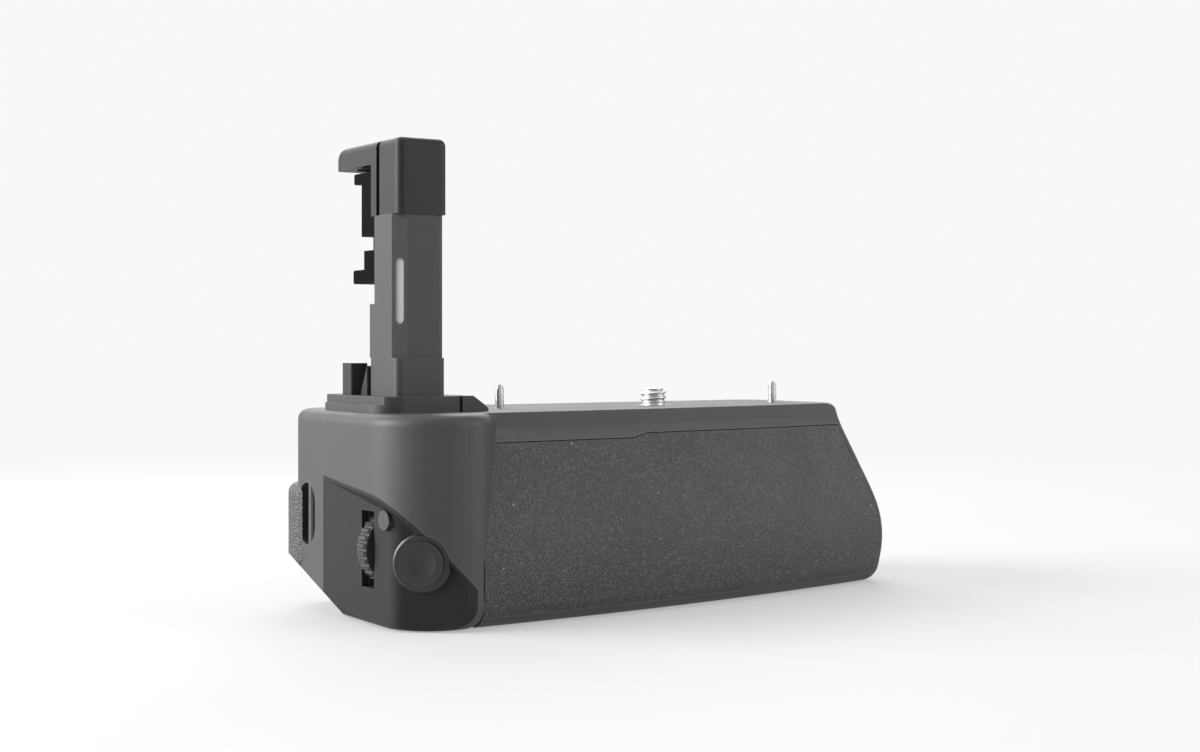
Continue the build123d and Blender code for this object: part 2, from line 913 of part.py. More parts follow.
# Places that several pieces share
shutter_bore = post(
    shutter_plane.offset(-shutter_cup_depth), shutter_collar_radius, shutter_cup_depth + overrun
)
function_hole = post(function_plane.offset(-inner_deck), function_radius + fit, inner_deck + overrun)
function_pocket_plane = function_plane.offset(-deck_thickness)
function_cup_length = function_depth - deck_thickness + function_travel + fit + function_cup_floor
function_pocket = post(
    function_pocket_plane.offset(-function_cup_length), function_cup_radius, function_cup_length
)
dial_slot = block(
    -left_reach - overrun,
    bracket_end_x,
    dial_y - dial_width / 2 - dial_slot_gap,
    dial_y + dial_width / 2 + dial_slot_gap,
    dial_z - dial_slot_height / 2,
    dial_z + dial_slot_height / 2,
)
bracket_side = dial_width / 2 + gap + bracket_wall
dial_window = block(
    -left_reach - overrun,
    bracket_end_x,
    dial_y - dial_width / 2 - gap,
    dial_y + dial_width / 2 + gap,
    dial_z - dial_slot_height / 2,
    dial_z + dial_slot_height / 2,
)
passage_start_x = tray_start_x - passage_side
passage = block(
    passage_start_x,
    right_reach + overrun,
    tray_front_y - passage_side,
    tray_back_y + passage_side,
    tray_floor_z - passage_side,
    battery_top_z + passage_top,
)
tongue_slot = block(
    tongue_x - tongue_gap,
    tongue_x + tongue_thickness + tongue_gap,
    knob_y,
    tongue_slot_y,
    knob_z - tongue_width / 2 - tongue_gap,
    knob_z + tongue_reach * tongue_sweep_share,
)
cap_clearance = cap_region(seam_gap)


def base_outline(z, grow):
    return plan_outline(
        z, base_start_x - grow, base_end_x + grow, base_proud + grow, base_back + grow, base_corner + grow
    )


def top_outline(z, grow):
    return plan_outline(
        z,
        top_plate_start_x - grow,
        top_plate_end_x + grow,
        grow - top_plate_inset,
        top_plate_back + grow,
        top_plate_corner,
    )


# Casing with its openings, before it is split into two shells
with BuildPart() as casing:
    add(outer_form.part)
    add(cavity.part, mode=Mode.SUBTRACT)
    add(rubber_recess.part, mode=Mode.SUBTRACT)
    add(cap_clearance, mode=Mode.SUBTRACT)
    add(passage, mode=Mode.SUBTRACT)
    extrude(
        to_extrude=base_outline(-overrun, fit).faces()[0],
        amount=overrun + base_thickness,
        mode=Mode.SUBTRACT,
    )
    extrude(to_extrude=top_outline(top_plate_floor_z, fit).faces()[0], amount=overrun, mode=Mode.SUBTRACT)
    with Locations((0, 0, seat_height)):
        Hole(bush_outer_radius + fit, wall + overrun)
    with Locations((pin_left_x, pin_y, seat_height), (pin_right_x, pin_y, seat_height)):
        Hole(pin_root_radius + fit, wall + overrun)

with BuildPart() as front_shell:
    add(casing.part)
    split(bisect_by=Plane.XZ.offset(-shell_split_y), keep=Keep.TOP)
    add(outside_deck(deck_thickness), mode=Mode.SUBTRACT)
    add(dial_window, mode=Mode.SUBTRACT)
    add(shutter_bore, mode=Mode.SUBTRACT)
    add(function_pocket, mode=Mode.SUBTRACT)
    add(function_hole, mode=Mode.SUBTRACT)
finish(front_shell, "front_shell")

with BuildPart() as control_deck:
    add(outer_form.part)
    add(outside_deck(deck_thickness), mode=Mode.INTERSECT)
    add(function_pocket, mode=Mode.SUBTRACT)
    add(dial_slot, mode=Mode.SUBTRACT)
    add(shutter_bore, mode=Mode.SUBTRACT)
    add(function_hole, mode=Mode.SUBTRACT)
finish(control_deck, "control_deck")

# Rear shell with the strap recess, the slot of the attachment wheel and the seats of the controls
with BuildPart() as strap_boss:
    with BuildSketch(strap_plane.offset(-strap_depth - strap_wall)):
        SlotOverall(strap_height + strap_wall * 2, strap_width + strap_wall * 2)
    extrude(amount=strap_depth + strap_wall)
    add(outer_form.part, mode=Mode.INTERSECT)
with BuildPart() as strap_recess:
    with BuildSketch(strap_plane.offset(-strap_depth)):
        SlotOverall(strap_height, strap_width)
    extrude(amount=strap_depth + overrun)
strap_bar_length = strap_height + strap_bar_bite * 2
strap_bar_plane = Plane(
    origin=(-left_reach + strap_bar_inset + strap_bar_radius, strap_y, strap_z - strap_bar_length / 2)
)
with BuildPart() as rear_shell:
    add(casing.part)
    split(bisect_by=Plane.XZ.offset(-shell_split_y), keep=Keep.BOTTOM)
    add(strap_boss.part)
    add(strap_recess.part, mode=Mode.SUBTRACT)
    add(post(strap_bar_plane, strap_bar_radius, strap_bar_length), mode=Mode.SUBTRACT)
    add(
        block(
            -wheel_slot_side,
            wheel_slot_side,
            shell_split_y + wheel_radius,
            body_back + overrun,
            wheel_floor_z - wheel_slot_gap,
            wheel_top_z + wheel_slot_gap,
        ),
        mode=Mode.SUBTRACT,
    )
    add(tongue_slot, mode=Mode.SUBTRACT)
    for plane in rear_button_planes:
        add(post(plane.offset(-overrun), rear_button_radius + fit, overrun * 2), mode=Mode.SUBTRACT)
        add(
            post(plane.offset(-overrun), rear_cup_radius, overrun - rear_wall_depth),
            mode=Mode.SUBTRACT,
        )
    add(post(stick_plane.offset(-stick_base_depth), stick_base_radius, overrun), mode=Mode.SUBTRACT)
    add(post(lever_plane.offset(-lever_pivot - fit), lever_pivot_radius + fit, overrun), mode=Mode.SUBTRACT)
finish(rear_shell, "rear_shell")

with BuildPart() as strap_bar:
    add(post(strap_bar_plane, strap_bar_radius, strap_bar_length))
finish(strap_bar, "strap_bar")

# Thumb rest: a pillow round the rear left corner
thumb_arm = head_corner_back + thumb_shift - thumb_shift * 2
thumb_radius = math.hypot(thumb_arm, thumb_shift)
thumb_x = -left_reach + head_corner_back - thumb_shift
thumb_y = head_back - head_corner_back + thumb_shift
with BuildPart() as thumb_rest_rubber:
    with BuildSketch(Plane.XY.offset(thumb_floor_z)):
        with Locations((thumb_x, thumb_y)):
            Circle(thumb_radius)
    extrude(amount=thumb_top_z - thumb_floor_z)
    fillet(thumb_rest_rubber.edges().filter_by(GeomType.CIRCLE), thumb_round)
    add(head_block.part, mode=Mode.SUBTRACT)
    split(bisect_by=heel_plane(0), keep=Keep.TOP)
finish(thumb_rest_rubber, "thumb_rest_rubber")

# Plates of the seat and of the base
with BuildPart() as top_plate:
    extrude(to_extrude=top_outline(top_plate_floor_z, 0).faces()[0], amount=top_plate_thickness)
    with Locations((0, 0, seat_height)):
        Hole(bush_outer_radius + fit, wall)
    with Locations((pin_left_x, pin_y, seat_height), (pin_right_x, pin_y, seat_height)):
        Hole(pin_root_radius + fit, wall)
finish(top_plate, "top_plate")

base_screw_first_x = base_start_x + base_screw_start_inset
base_screw_pitch = (base_end_x - base_screw_end_inset - base_screw_first_x) / (base_screw_columns - 1)
base_screw_places = []
for n in range(base_screw_columns):
    x = base_screw_first_x + base_screw_pitch * n
    edge_y = front_y(x, base_proud) + base_screw_head_radius * 2
    base_screw_places += [(x, max(base_screw_front_y, edge_y)), (x, base_screw_back_y)]
with BuildPart() as base_plate:
    extrude(to_extrude=base_outline(0, 0).faces()[0], amount=base_thickness)
    extrude(to_extrude=base_outline(base_thickness, base_lap).faces()[0], amount=base_flange)
    with Locations((0, 0, base_thickness + base_flange)):
        Hole(socket_outer_radius, base_thickness + base_flange)
    with BuildSketch():
        with Locations(base_screw_places):
            Circle(base_screw_head_radius)
    extrude(amount=base_screw_sunk + base_screw_head, mode=Mode.SUBTRACT)
    with BuildSketch():
        with Locations(base_screw_places):
            Circle(base_screw_shank_radius)
    extrude(amount=base_thickness + base_flange, mode=Mode.SUBTRACT)
finish(base_plate, "base_plate")

with BuildPart() as base_screws:
    with BuildSketch(Plane.XY.offset(base_screw_sunk)):
        with Locations(base_screw_places):
            Circle(base_screw_head_radius)
    extrude(amount=base_screw_head)
    with BuildSketch(Plane.XY.offset(base_screw_sunk)):
        with Locations(base_screw_places):
            Circle(base_screw_shank_radius)
    extrude(amount=base_thickness + base_flange - base_screw_sunk)
    with BuildSketch(Plane.XY.offset(base_screw_sunk)):
        with Locations(base_screw_places):
            Rectangle(base_screw_head_radius, base_screw_recess_width)
            Rectangle(base_screw_recess_width, base_screw_head_radius)
    extrude(amount=base_screw_recess_depth, mode=Mode.SUBTRACT)
finish(base_screws, "base_screws")

with BuildPart() as tripod_socket:
    with BuildSketch():
        Circle(socket_outer_radius)
    extrude(amount=socket_length)
    with BuildSketch(Plane.XY.offset(base_thickness + base_flange)):
        Circle(socket_flange_radius)
    extrude(amount=socket_length - base_thickness - base_flange)
    with Locations((0, 0, socket_length)):
        Hole(socket_bore_radius, socket_length)
finish(tripod_socket, "tripod_socket")

# Battery magazine
with BuildPart() as magazine_tray:
    add(block(tray_start_x, tray_end_x, tray_front_y, tray_back_y, tray_floor_z, tray_wall_top, tray_wall))
    add(
        block(
            tray_start_x,
            tray_start_x + tray_end_thickness,
            tray_front_y,
            tray_back_y,
            tray_floor_z,
            tray_end_top,
            tray_wall,
        )
    )
    for x in (inner_battery_x, outer_battery_x):
        add(
            block(
                x - fit,
                x + battery_length + fit,
                tray_front_y + tray_wall,
                tray_back_y - tray_wall,
                battery_floor_z,
                battery_top_z,
            ),
            mode=Mode.SUBTRACT,
        )
        add(
            block(
                x + battery_length * (1 - tray_window_share) / 2,
                x + battery_length * (1 + tray_window_share) / 2,
                battery_front_y + battery_width * (1 - tray_window_share) / 2,
                battery_front_y + battery_width * (1 + tray_window_share) / 2,
                0,
                battery_floor_z,
                battery_corner,
            ),
            mode=Mode.SUBTRACT,
        )
    add(
        block(
            divider_x - fit,
            outer_battery_x,
            tray_front_y + tray_wall,
            tray_back_y - tray_wall,
            tray_divider_top,
            battery_top_z,
        ),
        mode=Mode.SUBTRACT,
    )
finish(magazine_tray, "magazine_tray")


def battery(x):
    """A pack standing on the tray with its contact recess towards the left."""
    with BuildPart() as pack:
        add(
            block(
                x,
                x + battery_length,
                battery_front_y,
                battery_front_y + battery_width,
                battery_floor_z,
                battery_top_z,
            )
        )
        fillet(pack.edges().filter_by(Axis.X), battery_corner)
        add(
            block(
                x,
                x + battery_contact_depth,
                battery_front_y + battery_width / 2 - battery_contact_width / 2,
                battery_front_y + battery_width / 2 + battery_contact_width / 2,
                battery_top_z - battery_corner - battery_contact_height,
                battery_top_z - battery_corner,
            ),
            mode=Mode.SUBTRACT,
        )
    return pack.part


with BuildPart() as battery_inner:
    add(battery(inner_battery_x))
finish(battery_inner, "battery_inner")
with BuildPart() as battery_outer:
    add(battery(outer_battery_x))
finish(battery_outer, "battery_outer")

# Right end cap with the plug that carries the tray
plug_side = gap * 2
with BuildPart() as magazine_cap:
    add(outer_form.part)
    add(cap_region(0), mode=Mode.INTERSECT)
    add(
        block(
            tray_end_x,
            knob_pocket_x,
            tray_front_y + plug_side,
            tray_back_y - plug_side,
            tray_floor_z,
            battery_top_z - plug_side,
        )
    )
    add(
        block(
            tongue_x - tongue_gap,
            tongue_x + tongue_thickness + tongue_gap,
            knob_y - tongue_width / 2 - tongue_gap,
            tray_back_y + overrun,
            knob_z - tongue_width / 2 - tongue_gap,
            battery_top_z + passage_top,
        ),
        mode=Mode.SUBTRACT,
    )
    add(post(knob_plane, knob_pocket_radius, overrun), mode=Mode.SUBTRACT)
    add(
        post(
            knob_plane.offset(tongue_x - knob_pocket_x),
            knob_shaft_radius + fit,
            overrun + knob_pocket_x - tongue_x,
        ),
        mode=Mode.SUBTRACT,
    )
finish(magazine_cap, "magazine_cap")

with BuildPart() as release_knob:
    add(post(knob_plane.offset(fit), knob_radius, knob_disc))
    with BuildSketch(knob_plane.offset(fit + knob_disc)):
        SlotOverall(knob_radius * 2 - knob_bar_width, knob_bar_width, rotation=90)
    extrude(amount=knob_bar_top)
    shaft_length = knob_pocket_x - tongue_x - tongue_thickness
    add(post(knob_plane.offset(-shaft_length), knob_shaft_radius, shaft_length + fit))
finish(release_knob, "release_knob")

with BuildPart() as latch_tongue:
    with BuildSketch(knob_plane.offset(tongue_x - knob_pocket_x)):
        Circle(tongue_width / 2)
        with Locations((0, tongue_shoulder / 2)):
            Rectangle(tongue_width, tongue_shoulder)
        with Locations((0, tongue_shoulder)):
            Rectangle(tongue_width / 2, tongue_width / 2)
    extrude(amount=tongue_thickness)
finish(latch_tongue, "latch_tongue")

# Contact strip on the magazine, contact block on the chassis
with BuildPart() as magazine_contacts:
    for n in range(contact_blades):
        y = contact_y + (n - (contact_blades - 1) / 2) * contact_width / contact_blades
        add(
            block(
                tray_start_x - contact_strip,
                tray_start_x,
                y - contact_blade / 2,
                y + contact_blade / 2,
                contact_z - contact_blade_height / 2,
                contact_z + contact_blade_height / 2,
            )
        )
finish(magazine_contacts, "magazine_contacts")

chassis_wall_end_x = chassis_start_x + chassis_wall
with BuildPart() as bay_contacts:
    face_x = tray_start_x - contact_strip - fit
    add(
        block(
            chassis_start_x - contact_depth,
            face_x - contact_blade_depth,
            contact_y - contact_width / 2,
            contact_y + contact_width / 2,
            contact_z - contact_height / 2,
            contact_z + contact_height / 2,
        )
    )
    for n in range(contact_blades):
        y = contact_y + (n - (contact_blades - 1) / 2) * contact_width / contact_blades
        add(
            block(
                face_x - contact_blade_depth,
                face_x,
                y - contact_blade / 2,
                y + contact_blade / 2,
                contact_z - contact_blade_height / 2,
                contact_z + contact_blade_height / 2,
            )
        )
finish(bay_contacts, "bay_contacts")

# Chassis: roof over the bay, a left end wall and a short front wall
chassis_front = tray_front_y - chassis_front_gap - chassis_wall
board_places = [
    (x, y)
    for x in (board_start_x + board_post_inset, board_end_x - board_post_inset)
    for y in (board_front_y + board_post_inset, board_back_y - board_post_inset)
]
with BuildPart() as chassis:
    extrude(
        to_extrude=plan_outline(
            chassis_roof_z, chassis_start_x, chassis_end_x, -chassis_inset, chassis_back, chassis_corner
        ).faces()[0],
        amount=chassis_wall,
    )
    add(
        block(
            chassis_start_x,
            chassis_wall_end_x,
            chassis_front,
            chassis_back,
            base_thickness,
            chassis_roof_z,
        )
    )
    add(
        block(
            chassis_start_x,
            chassis_front_end_x,
            chassis_front,
            chassis_front + chassis_wall,
            base_thickness + base_flange,
            chassis_roof_z,
        )
    )
    add(
        block(
            chassis_start_x - wall,
            chassis_wall_end_x + wall,
            contact_y - contact_width / 2,
            contact_y + contact_width / 2,
            contact_z - contact_height / 2,
            contact_z + contact_height / 2,
        ),
        mode=Mode.SUBTRACT,
    )
    with BuildSketch(Plane.XY.offset(chassis_roof_top)):
        with Locations((0, 0), (0, wheel_y)):
            Circle(gear_boss_radius)
    extrude(amount=gear_boss)
    with BuildSketch(Plane.XY.offset(chassis_roof_top)):
        with Locations(board_places):
            Circle(board_standoff_radius)
    extrude(amount=board_standoff)
    with Locations((0, 0, chassis_roof_top + gear_boss)):
        Hole(screw_spigot_radius + fit, chassis_wall + gear_boss)
    with Locations((0, wheel_y, chassis_roof_top + gear_boss)):
        Hole(axle_radius, chassis_wall + gear_boss)
finish(chassis, "chassis")

with BuildPart() as main_board:
    board_floor_z = chassis_roof_top + board_standoff
    add(
        block(
            board_start_x,
            board_end_x,
            board_front_y,
            board_back_y,
            board_floor_z,
            board_floor_z + board_thickness,
            board_corner,
        )
    )
    add(
        block(
            board_socket_x - board_socket_length / 2,
            board_socket_x + board_socket_length / 2,
            board_socket_y - board_socket_width / 2,
            board_socket_y + board_socket_width / 2,
            board_floor_z + board_thickness,
            board_floor_z + board_thickness + board_socket_height,
        )
    )
finish(main_board, "main_board")


def gear(centre_y, bore_radius, turn):
    """A spur gear with trapezoid teeth round the given axis, its first tooth at angle turn."""
    root_radius = gear_pitch_radius - gear_dedendum_share * gear_module
    tip_radius = gear_pitch_radius + gear_addendum_share * gear_module
    with BuildPart() as blank:
        with BuildSketch(Plane.XY.offset(gear_floor_z)):
            with Locations((0, centre_y)):
                Circle(root_radius)
                with PolarLocations(0, gear_teeth, start_angle=turn):
                    Polygon(
                        (root_radius - gear_module, -gear_root_share * gear_module),
                        (gear_pitch_radius, -gear_pitch_share * gear_module),
                        (tip_radius, -gear_tip_share * gear_module),
                        (tip_radius, gear_tip_share * gear_module),
                        (gear_pitch_radius, gear_pitch_share * gear_module),
                        (root_radius - gear_module, gear_root_share * gear_module),
                        align=None,
                    )
                Circle(bore_radius, mode=Mode.SUBTRACT)
        extrude(amount=gear_thickness)
    return blank.part


with BuildPart() as screw_gear:
    add(gear(0, screw_radius, 90))
finish(screw_gear, "screw_gear")
with BuildPart() as wheel_gear:
    add(gear(wheel_y, axle_radius + fit, 180 / gear_teeth - 90))
finish(wheel_gear, "wheel_gear")

with BuildPart() as attachment_screw:
    with BuildSketch(Plane.XY.offset(gear_floor_z)):
        Circle(screw_radius)
    extrude(amount=screw_top_z - gear_floor_z)
    chamfer(attachment_screw.faces().sort_by(Axis.Z)[-1].edges(), screw_chamfer)
    with BuildSketch(Plane.XY.offset(gear_floor_z - screw_spigot_length)):
        Circle(screw_spigot_radius)
    extrude(amount=screw_spigot_length)
    with BuildSketch(Plane.XY.offset(seat_height)):
        Circle(screw_radius)
        Circle(screw_neck_radius, mode=Mode.SUBTRACT)
    extrude(amount=screw_neck, mode=Mode.SUBTRACT)
finish(attachment_screw, "attachment_screw")

bush_floor_z = top_ledge_z - bush_flange
with BuildPart() as screw_bush:
    with BuildSketch(Plane.XY.offset(bush_floor_z)):
        Circle(bush_flange_radius)
    extrude(amount=bush_flange)
    with BuildSketch(Plane.XY.offset(top_ledge_z)):
        Circle(bush_outer_radius)
    extrude(amount=wall)
    with Locations((0, 0, seat_height)):
        Hole(screw_radius + fit, seat_height)
finish(screw_bush, "screw_bush")

with BuildPart() as screw_clip:
    with BuildSketch(Plane.XY.offset(bush_floor_z - fit - clip_thickness)):
        Circle(clip_radius)
        Circle(screw_radius, mode=Mode.SUBTRACT)
        with Locations((clip_radius, 0)):
            Rectangle(clip_radius, screw_radius / 2, mode=Mode.SUBTRACT)
    extrude(amount=clip_thickness)
finish(screw_clip, "screw_clip")

with BuildPart() as attachment_wheel:
    with BuildSketch(Plane.XY.offset(wheel_floor_z)):
        with Locations((0, wheel_y)):
            Circle(wheel_radius)
    extrude(amount=wheel_height)
    chamfer(attachment_wheel.edges().filter_by(GeomType.CIRCLE), wheel_edge)
    with BuildSketch(Plane.XY.offset(wheel_floor_z)):
        with Locations((0, wheel_y)):
            with PolarLocations(wheel_radius, wheel_flutes):
                Circle(wheel_flute_radius)
    extrude(amount=wheel_height, mode=Mode.SUBTRACT)
    with BuildSketch(Plane.XY.offset(wheel_floor_z + wheel_web)):
        with Locations((0, wheel_y)):
            Circle(wheel_radius - wheel_rim)
            Circle(wheel_hub_radius, mode=Mode.SUBTRACT)
    extrude(amount=wheel_height, mode=Mode.SUBTRACT)
    with BuildSketch(Plane.XY.offset(gear_top_z)):
        with Locations((0, wheel_y)):
            Circle(wheel_hub_radius)
    extrude(amount=wheel_gap)
    with Locations((0, wheel_y, wheel_top_z)):
        Hole(axle_radius + fit, wheel_height + wheel_gap)
finish(attachment_wheel, "attachment_wheel")

with BuildPart() as wheel_axle:
    with BuildSketch(Plane.XY.offset(chassis_roof_z)):
        with Locations((0, wheel_y)):
            Circle(axle_radius)
    extrude(amount=wheel_top_z + fit - chassis_roof_z)
    with BuildSketch(Plane.XY.offset(wheel_top_z + fit)):
        with Locations((0, wheel_y)):
            Circle(axle_head_radius)
    extrude(amount=axle_head)
finish(wheel_axle, "wheel_axle")


def locating_pin(x):
    """A turned pin with a flange under the seat and a tapered top."""
    with BuildPart() as pin:
        with BuildSketch(Plane.XY.offset(top_ledge_z - pin_flange)):
            with Locations((x, pin_y)):
                Circle(pin_flange_radius)
        extrude(amount=pin_flange)
        with BuildSketch(Plane.XY.offset(top_ledge_z)):
            with Locations((x, pin_y)):
                Circle(pin_root_radius)
        extrude(amount=wall)
        with BuildSketch(Plane.XY.offset(seat_height)):
            with Locations((x, pin_y)):
                Circle(pin_radius)
        extrude(amount=pin_rise)
        chamfer(pin.faces().sort_by(Axis.Z)[-1].edges(), pin_tip, pin_tip / 2)
    return pin.part


with BuildPart() as locating_pin_left:
    add(locating_pin(pin_left_x))
finish(locating_pin_left, "locating_pin_left")
with BuildPart() as locating_pin_right:
    add(locating_pin(pin_right_x))
finish(locating_pin_right, "locating_pin_right")

# Main dial
with BuildPart() as main_dial:
    dial_plane = Plane(origin=(dial_x, dial_y - dial_width / 2, dial_z), x_dir=(1, 0, 0), z_dir=(0, 1, 0))
    with BuildSketch(dial_plane):
        Circle(dial_radius)
    extrude(amount=dial_width)
    chamfer(main_dial.edges().filter_by(GeomType.CIRCLE), dial_edge)
    with BuildSketch(dial_plane):
        with PolarLocations(dial_radius, dial_flutes):
            Circle(dial_flute_radius)
    extrude(amount=dial_width, mode=Mode.SUBTRACT)
    with BuildSketch(dial_plane):
        Circle(dial_axle_radius + fit)
    extrude(amount=dial_width, mode=Mode.SUBTRACT)
finish(main_dial, "main_dial")

with BuildPart() as dial_bracket:
    add(
        block(
            -left_reach,
            bracket_end_x,
            dial_y - bracket_side,
            dial_y + bracket_side,
            dial_z - bracket_height / 2,
            dial_z + bracket_height / 2,
        )
    )
    add(
        block(
            -left_reach,
            dial_x + dial_radius + gap,
            dial_y - dial_width / 2 - gap,
            dial_y + dial_width / 2 + gap,
            dial_z - dial_radius - gap,
            dial_z + dial_radius + gap,
        ),
        mode=Mode.SUBTRACT,
    )
    add(deck_hollow_limit, mode=Mode.SUBTRACT)
    axle_reach = bracket_side
    axle_plane = Plane(origin=(dial_x, dial_y - axle_reach, dial_z), x_dir=(1, 0, 0), z_dir=(0, 1, 0))
    add(post(axle_plane, dial_axle_radius, axle_reach * 2), mode=Mode.SUBTRACT)
finish(dial_bracket, "dial_bracket")

with BuildPart() as dial_axle:
    add(post(axle_plane, dial_axle_radius, axle_reach * 2))
finish(dial_axle, "dial_axle")

# Shutter button in its cup
with BuildPart() as shutter_collar:
    add(
        post(
            shutter_plane.offset(-shutter_cup_depth),
            shutter_collar_radius,
            shutter_cup_depth + shutter_collar_rise,
        )
    )
    chamfer(shutter_collar.faces().sort_by(Axis.X)[0].edges().sort_by(Axis.X)[-1:], edge_break)
    add(
        post(
            shutter_plane.offset(shutter_cup_floor - shutter_cup_depth),
            shutter_radius + fit,
            shutter_cup_depth + overrun,
        ),
        mode=Mode.SUBTRACT,
    )
finish(shutter_collar, "shutter_collar")

with BuildPart() as shutter_button:
    add(post(shutter_plane.offset(-shutter_body), shutter_radius, shutter_body + shutter_rise))
    with Locations(shutter_plane.offset(shutter_rise + shutter_dish_radius - shutter_dish_depth)):
        Sphere(shutter_dish_radius, mode=Mode.SUBTRACT)
    add(post(shutter_plane.offset(-shutter_body - shutter_stem), shutter_stem_radius, shutter_stem))
finish(shutter_button, "shutter_button")

with BuildPart() as shutter_switch:
    with BuildSketch(shutter_plane.offset(shutter_cup_floor - shutter_cup_depth)):
        Rectangle(switch_size, switch_size)
    extrude(amount=switch_thickness)
finish(shutter_switch, "shutter_switch")

# Function button
with BuildPart() as function_button:
    add(post(function_plane.offset(-function_depth), function_radius, function_depth + function_rise))
    add(post(function_pocket_plane.offset(-fit - function_flange), function_flange_radius, function_flange))
finish(function_button, "function_button")
with BuildPart() as function_switch:
    add(function_pocket)
    add(
        post(
            function_pocket_plane.offset(function_cup_floor - function_cup_length),
            function_flange_radius + fit,
            function_cup_length,
        ),
        mode=Mode.SUBTRACT,
    )
finish(function_switch, "function_switch")

# Rear buttons and the cups behind them
names = ("rear_button_left", "rear_button_middle", "rear_button_right")
for name, plane in zip(names, rear_button_planes):
    with BuildPart() as rear_button:
        button_depth = rear_wall_depth + fit + rear_button_flange
        add(post(plane.offset(-button_depth), rear_button_radius, button_depth + rear_button_rise))
        chamfer(rear_button.faces().sort_by(Axis.Y)[-1].edges(), edge_break)
        add(
            post(
                plane.offset(-button_depth),
                rear_button_radius + rear_button_flange_rim,
                rear_button_flange,
            )
        )
    finish(rear_button, name)
with BuildPart() as rear_switches:
    cup_back = rear_wall_depth + fit + rear_button_flange + rear_button_travel + fit
    for plane in rear_button_planes:
        add(post(plane.offset(-cup_back - rear_switch_depth), rear_cup_radius, rear_switch_depth))
finish(rear_switches, "rear_switches")

# Thumb stick
with BuildPart() as stick_base:
    add(post(stick_plane.offset(-stick_base_depth), stick_base_radius, stick_base_depth + stick_base_rise))
    chamfer(stick_base.faces().sort_by(Axis.Y)[-1].edges(), edge_break)
    add(
        post(
            stick_plane.offset(stick_base_floor - stick_base_depth),
            stick_foot_radius + stick_tilt_gap,
            stick_foot + stick_tilt_gap * 2,
        ),
        mode=Mode.SUBTRACT,
    )
    add(
        post(
            stick_plane.offset(-stick_pivot_depth),
            stick_neck_radius + stick_tilt_gap,
            stick_pivot_depth + overrun,
        ),
        mode=Mode.SUBTRACT,
    )
finish(stick_base, "stick_base")
with BuildPart() as thumb_stick:
    foot_floor = -stick_pivot_depth - stick_foot / 2
    with Locations(stick_plane.offset(-stick_pivot_depth)):
        Sphere(stick_foot_radius)
    split(bisect_by=stick_plane.offset(foot_floor), keep=Keep.TOP)
    split(bisect_by=stick_plane.offset(foot_floor + stick_foot), keep=Keep.BOTTOM)
    add(post(stick_plane.offset(-stick_pivot_depth), stick_neck_radius, stick_pivot_depth + stick_cap_floor))
    add(post(stick_plane.offset(stick_cap_floor), stick_cap_radius, stick_cap))
    chamfer(thumb_stick.faces().sort_by(Axis.Y)[-1].edges(), edge_break)
finish(thumb_stick, "thumb_stick")

# On/off lever
with BuildPart() as power_lever:
    with BuildSketch(lever_plane.offset(fit)):
        Circle(lever_radius)
        with Locations((lever_nose, 0)):
            Circle(lever_nose_radius)
        make_hull()
    extrude(amount=lever_thickness)
    chamfer(power_lever.faces().sort_by(Axis.Y)[-1].edges(), edge_break)
    add(post(lever_plane.offset(-lever_pivot), lever_pivot_radius, lever_pivot + fit))
finish(power_lever, "power_lever")

# Stem base: the island, and the collar the stem stands on
island_floor_z = seat_height
with BuildPart() as stem_base:
    with BuildSketch(Plane.XY.offset(island_floor_z)) as island_plan:
        with Locations(((island_start_x + island_end_x) / 2, (island_front_y + island_back_y) / 2)):
            Rectangle(island_end_x - island_start_x, island_back_y - island_front_y)
        fillet(island_plan.vertices().group_by(Axis.X)[0], island_round)
        fillet(island_plan.vertices().group_by(Axis.X)[-1], island_end_round)
    extrude(amount=island_top_z - island_floor_z)
    slope_run = island_top_z - island_floor_z
    split(
        bisect_by=Plane(
            origin=(island_end_x, 0, island_floor_z + edge_break), z_dir=(slope_run, 0, island_slope)
        ),
        keep=Keep.BOTTOM,
    )
    add(
        block(
            island_start_x - wall,
            island_step_x,
            island_front_y - wall,
            island_back_y + wall,
            (island_floor_z + island_top_z) / 2,
            island_top_z + wall,
        ),
        mode=Mode.SUBTRACT,
    )
    add(
        block(
            island_notch_x - island_notch / 2,
            island_notch_x + island_notch / 2,
            island_front_y - wall,
            island_front_y + island_notch,
            island_floor_z,
            island_top_z,
        ),
        mode=Mode.SUBTRACT,
    )
    add(
        block(
            collar_start_x,
            collar_end_x,
            collar_front_y,
            collar_back_y,
            island_top_z,
            collar_top_z,
            collar_round,
        )
    )
    add(
        block(
            stem_start_x + stem_wall,
            stem_end_x - stem_wall,
            stem_front_y + stem_wall,
            stem_back_y - stem_cover_thickness,
            island_floor_z + stem_wall,
            collar_top_z,
        ),
        mode=Mode.SUBTRACT,
    )
finish(stem_base, "stem_base")

